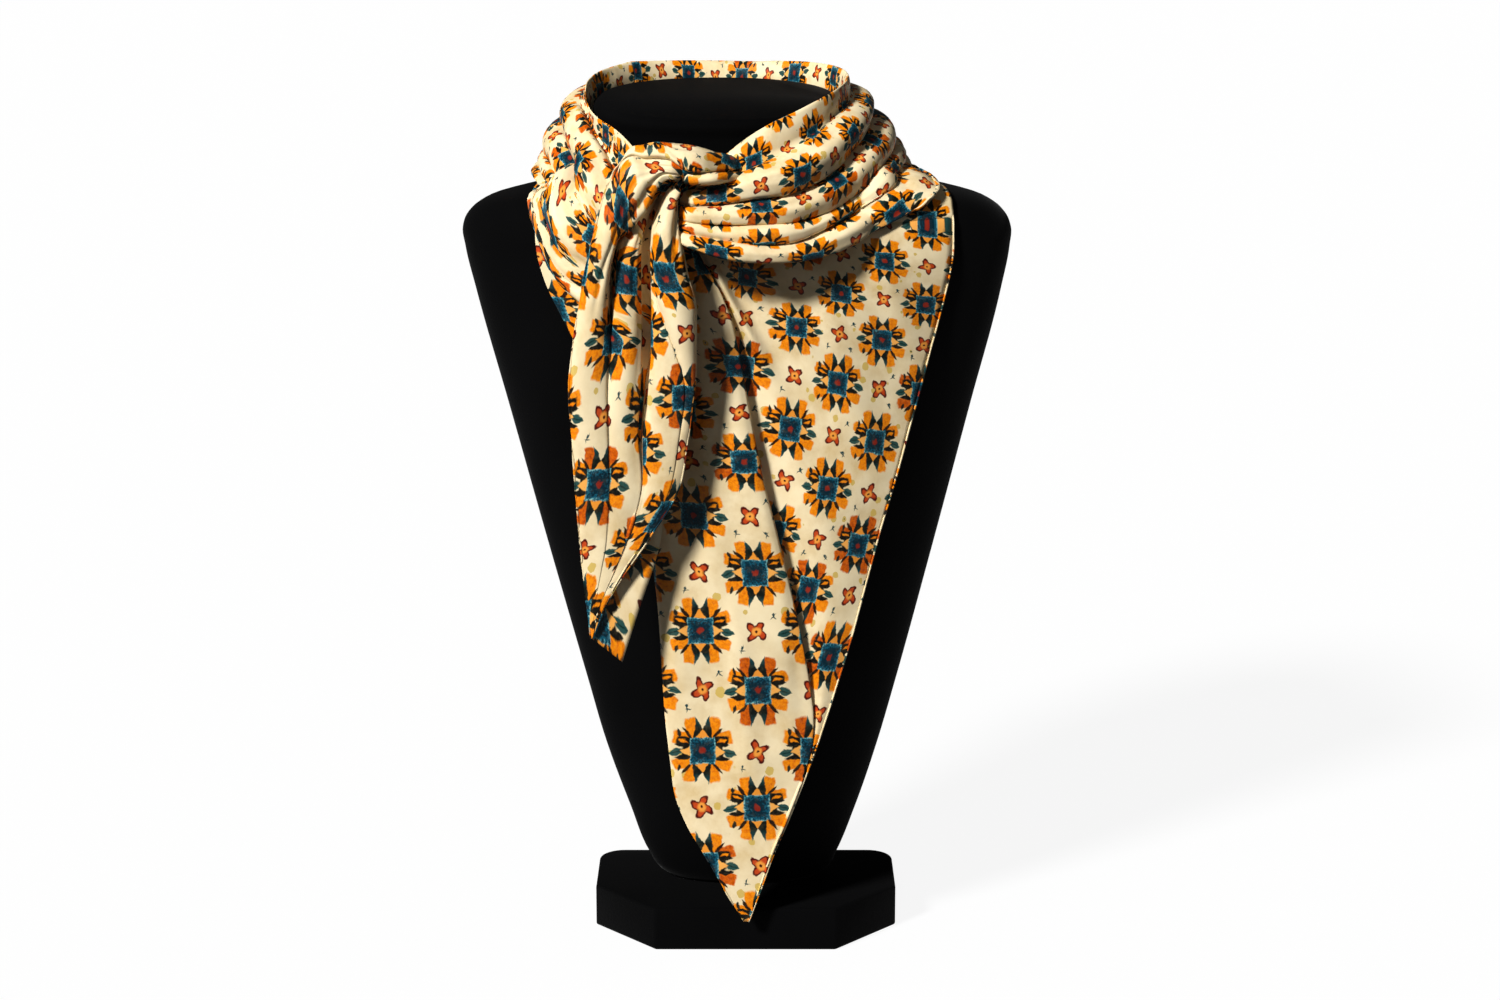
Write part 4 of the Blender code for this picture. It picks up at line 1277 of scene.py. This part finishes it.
def bust_form():
    """Chest and neck in one smooth body, a ring of points per level."""
    heights = [row[0] for row in FORM_SECTIONS]
    levels = []
    for low, high in zip(heights, heights[1:]):
        parts = max(2, round((high - low) / (LEVELS_BELOW if high < FORM_SHOULDER else LEVELS_ABOVE)))
        levels += [low + (high - low) * part / parts for part in range(parts)]
    levels = np.array(levels + heights[-1:])[:, None]
    half, reach, middle_x, middle_y = form_section(levels)
    turn = np.linspace(0.0, 2 * math.pi, FORM_COLUMNS, endpoint=False)
    cos, sin = np.cos(turn), np.sin(turn)
    x = middle_x + half * np.copysign(np.abs(cos) ** (2 / SECTION_POWER), cos)
    y = middle_y + reach * np.copysign(np.abs(sin) ** (2 / SECTION_POWER), sin)
    lean = math.tan(DISC_LEAN) * np.maximum(0.0, (levels - LEAN_FROM) / (FORM_TOP - LEAN_FROM))
    mesh = tube("bust_velvet", np.stack([x, y, levels + lean * (y - NECK_Y)], axis=2))
    made = link(mesh, velvet)
    mesh.set_sharp_from_angle(angle=math.radians(50))
    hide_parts("bust_form")


def base_plinth():
    """A low block with its two front corners cut off and its back corners rounded."""
    side = BASE_WIDTH / 2
    chamfer_y = BASE_FRONT + BASE_CHAMFER_DEPTH
    outline = [(-BASE_FRONT_FACE / 2, BASE_FRONT), (BASE_FRONT_FACE / 2, BASE_FRONT), (side, chamfer_y)]
    for corner, first_turn in ((1, 0), (-1, 90)):
        for step in range(CORNER_STEPS + 1):
            turn = math.radians(first_turn + 90 / CORNER_STEPS * step)
            x = corner * (side - BASE_BACK_RADIUS) + BASE_BACK_RADIUS * math.cos(turn)
            y = BASE_BACK - BASE_BACK_RADIUS + BASE_BACK_RADIUS * math.sin(turn)
            outline.append((x, y))
    outline.append((-side, chamfer_y))
    rings = np.array([[(x, y, z) for x, y in outline] for z in (0.0, BASE_HEIGHT)])
    made = link(tube("base_velvet", rings), velvet)
    rounding = made.modifiers.new("edges", "BEVEL")
    rounding.width = BASE_EDGE * MM
    rounding.segments = 5
    rounding.limit_method = "ANGLE"
    rounding.angle_limit = math.radians(40)
    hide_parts("base_plinth")


def floor_and_light():
    """A wide pale floor, an even pale sky, and soft light from the upper left and front."""
    scene = bpy.context.scene
    corners = np.array(((-1, -1, 0), (1, -1, 0), (1, 1, 0), (-1, 1, 0)))
    mesh = new_mesh("floor", corners * FLOOR_REACH, [(0, 1, 2, 3)])
    floor = placed("floor", mesh)
    grey, white = (0.07, 0.07, 0.07, 1.0), (1.0, 1.0, 1.0, 1.0)
    pale = {"Base Color": grey, "Roughness": 0.9, "Specular IOR Level": 0.1}
    pale.update({"Emission Color": white, "Emission Strength": 0.92})
    mesh.materials.append(new_material("pale_floor", pale)[0])
    floor.visible_diffuse = False
    scene.world = bpy.data.worlds.new("studio")
    scene.world.use_nodes = True
    sky = scene.world.node_tree.nodes["Background"]
    sky.inputs["Color"].default_value = white
    sky.inputs["Strength"].default_value = 0.08
    for name, azimuth, elevation, power, spread in LAMPS:
        lamp = bpy.data.lights.new(name, "SUN")
        lamp.energy = power
        lamp.angle = math.radians(spread)
        holder = placed(name, lamp)
        a, e = math.radians(azimuth), math.radians(elevation)
        towards = Vector((math.sin(a) * math.cos(e), -math.cos(a) * math.cos(e), math.sin(e)))
        holder.rotation_euler = towards.to_track_quat("Z", "Y").to_euler()
    scene.view_settings.view_transform = "Standard"
    scene.view_settings.gamma = 0.86


def camera():
    lens = bpy.data.cameras.new("camera")
    lens.lens = 78.5
    lens.sensor_width = 36.0
    lens.clip_start = 0.1
    lens.clip_end = 100.0
    holder = placed("camera", lens)
    holder.location = CAMERA_AT
    aim = Vector(CAMERA_AIM) - holder.location
    holder.rotation_euler = aim.to_track_quat("-Z", "Y").to_euler()
    bpy.context.scene.camera = holder


silk = printed_silk()
velvet = black_velvet()
bust_form()
base_plinth()

half_seam = math.degrees(COLLAR_SEAM / 2 / FORM_SECTIONS[-1][1])
# side, heights, bulges, columns, trim_start, trim_end, where its hem runs, flat size in metres
for side, heights, bulges, count, trim_start, trim_end, part, flat in (
    ("right", RIGHT_HEIGHTS, RIGHT_BULGES, 230, 0.0, half_seam, slice(-90, None), (0.205, 0.108)),
    ("back", BACK_HEIGHTS, BACK_BULGES, 130, half_seam, half_seam, slice(None), (0.12, 0.082)),
    ("left", LEFT_HEIGHTS, LEFT_BULGES, 200, half_seam, LEFT_TUCK, slice(80), (0.165, 0.098)),
):
    grid, print_at = collar_grid(side, heights, bulges, count, trim_start, trim_end)
    collar = cloth("collar_" + side + "_silk", grid, print_at, from_neck(grid))
    hem = rolled_hem("collar_" + side + "_hem", grid[part, 0], print_at[part, 0])
    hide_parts("collar_" + side)

grid, print_at = panel_grid()
panel = cloth("front_panel_silk", grid, print_at, FORWARD)
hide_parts("front_panel")
hem = rolled_hem("front_panel_hem", grid[:, -1], print_at[:, -1])

for side, table, seed, flat in (
    ("right", RIGHT_SHOULDER, 7, (0.028, 0.07)),
    ("left", LEFT_SHOULDER, 8, (0.025, 0.066)),
):
    shoulder = cloth("shoulder_" + side + "_silk", *shoulder_grid(table, seed), UP)
    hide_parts("shoulder_" + side)

grid, print_at = tie_grid()
tie = cloth("tie_and_short_end_silk", grid, print_at, FORWARD)
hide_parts("tie", "short_end")
hem = rolled_hem("short_end_hem", grid[HEM_SHOWS:, -1], print_at[HEM_SHOWS:, -1])
under = cloth("tie_under_strand", *under_strand_grid(), FORWARD)

floor_and_light()
camera()
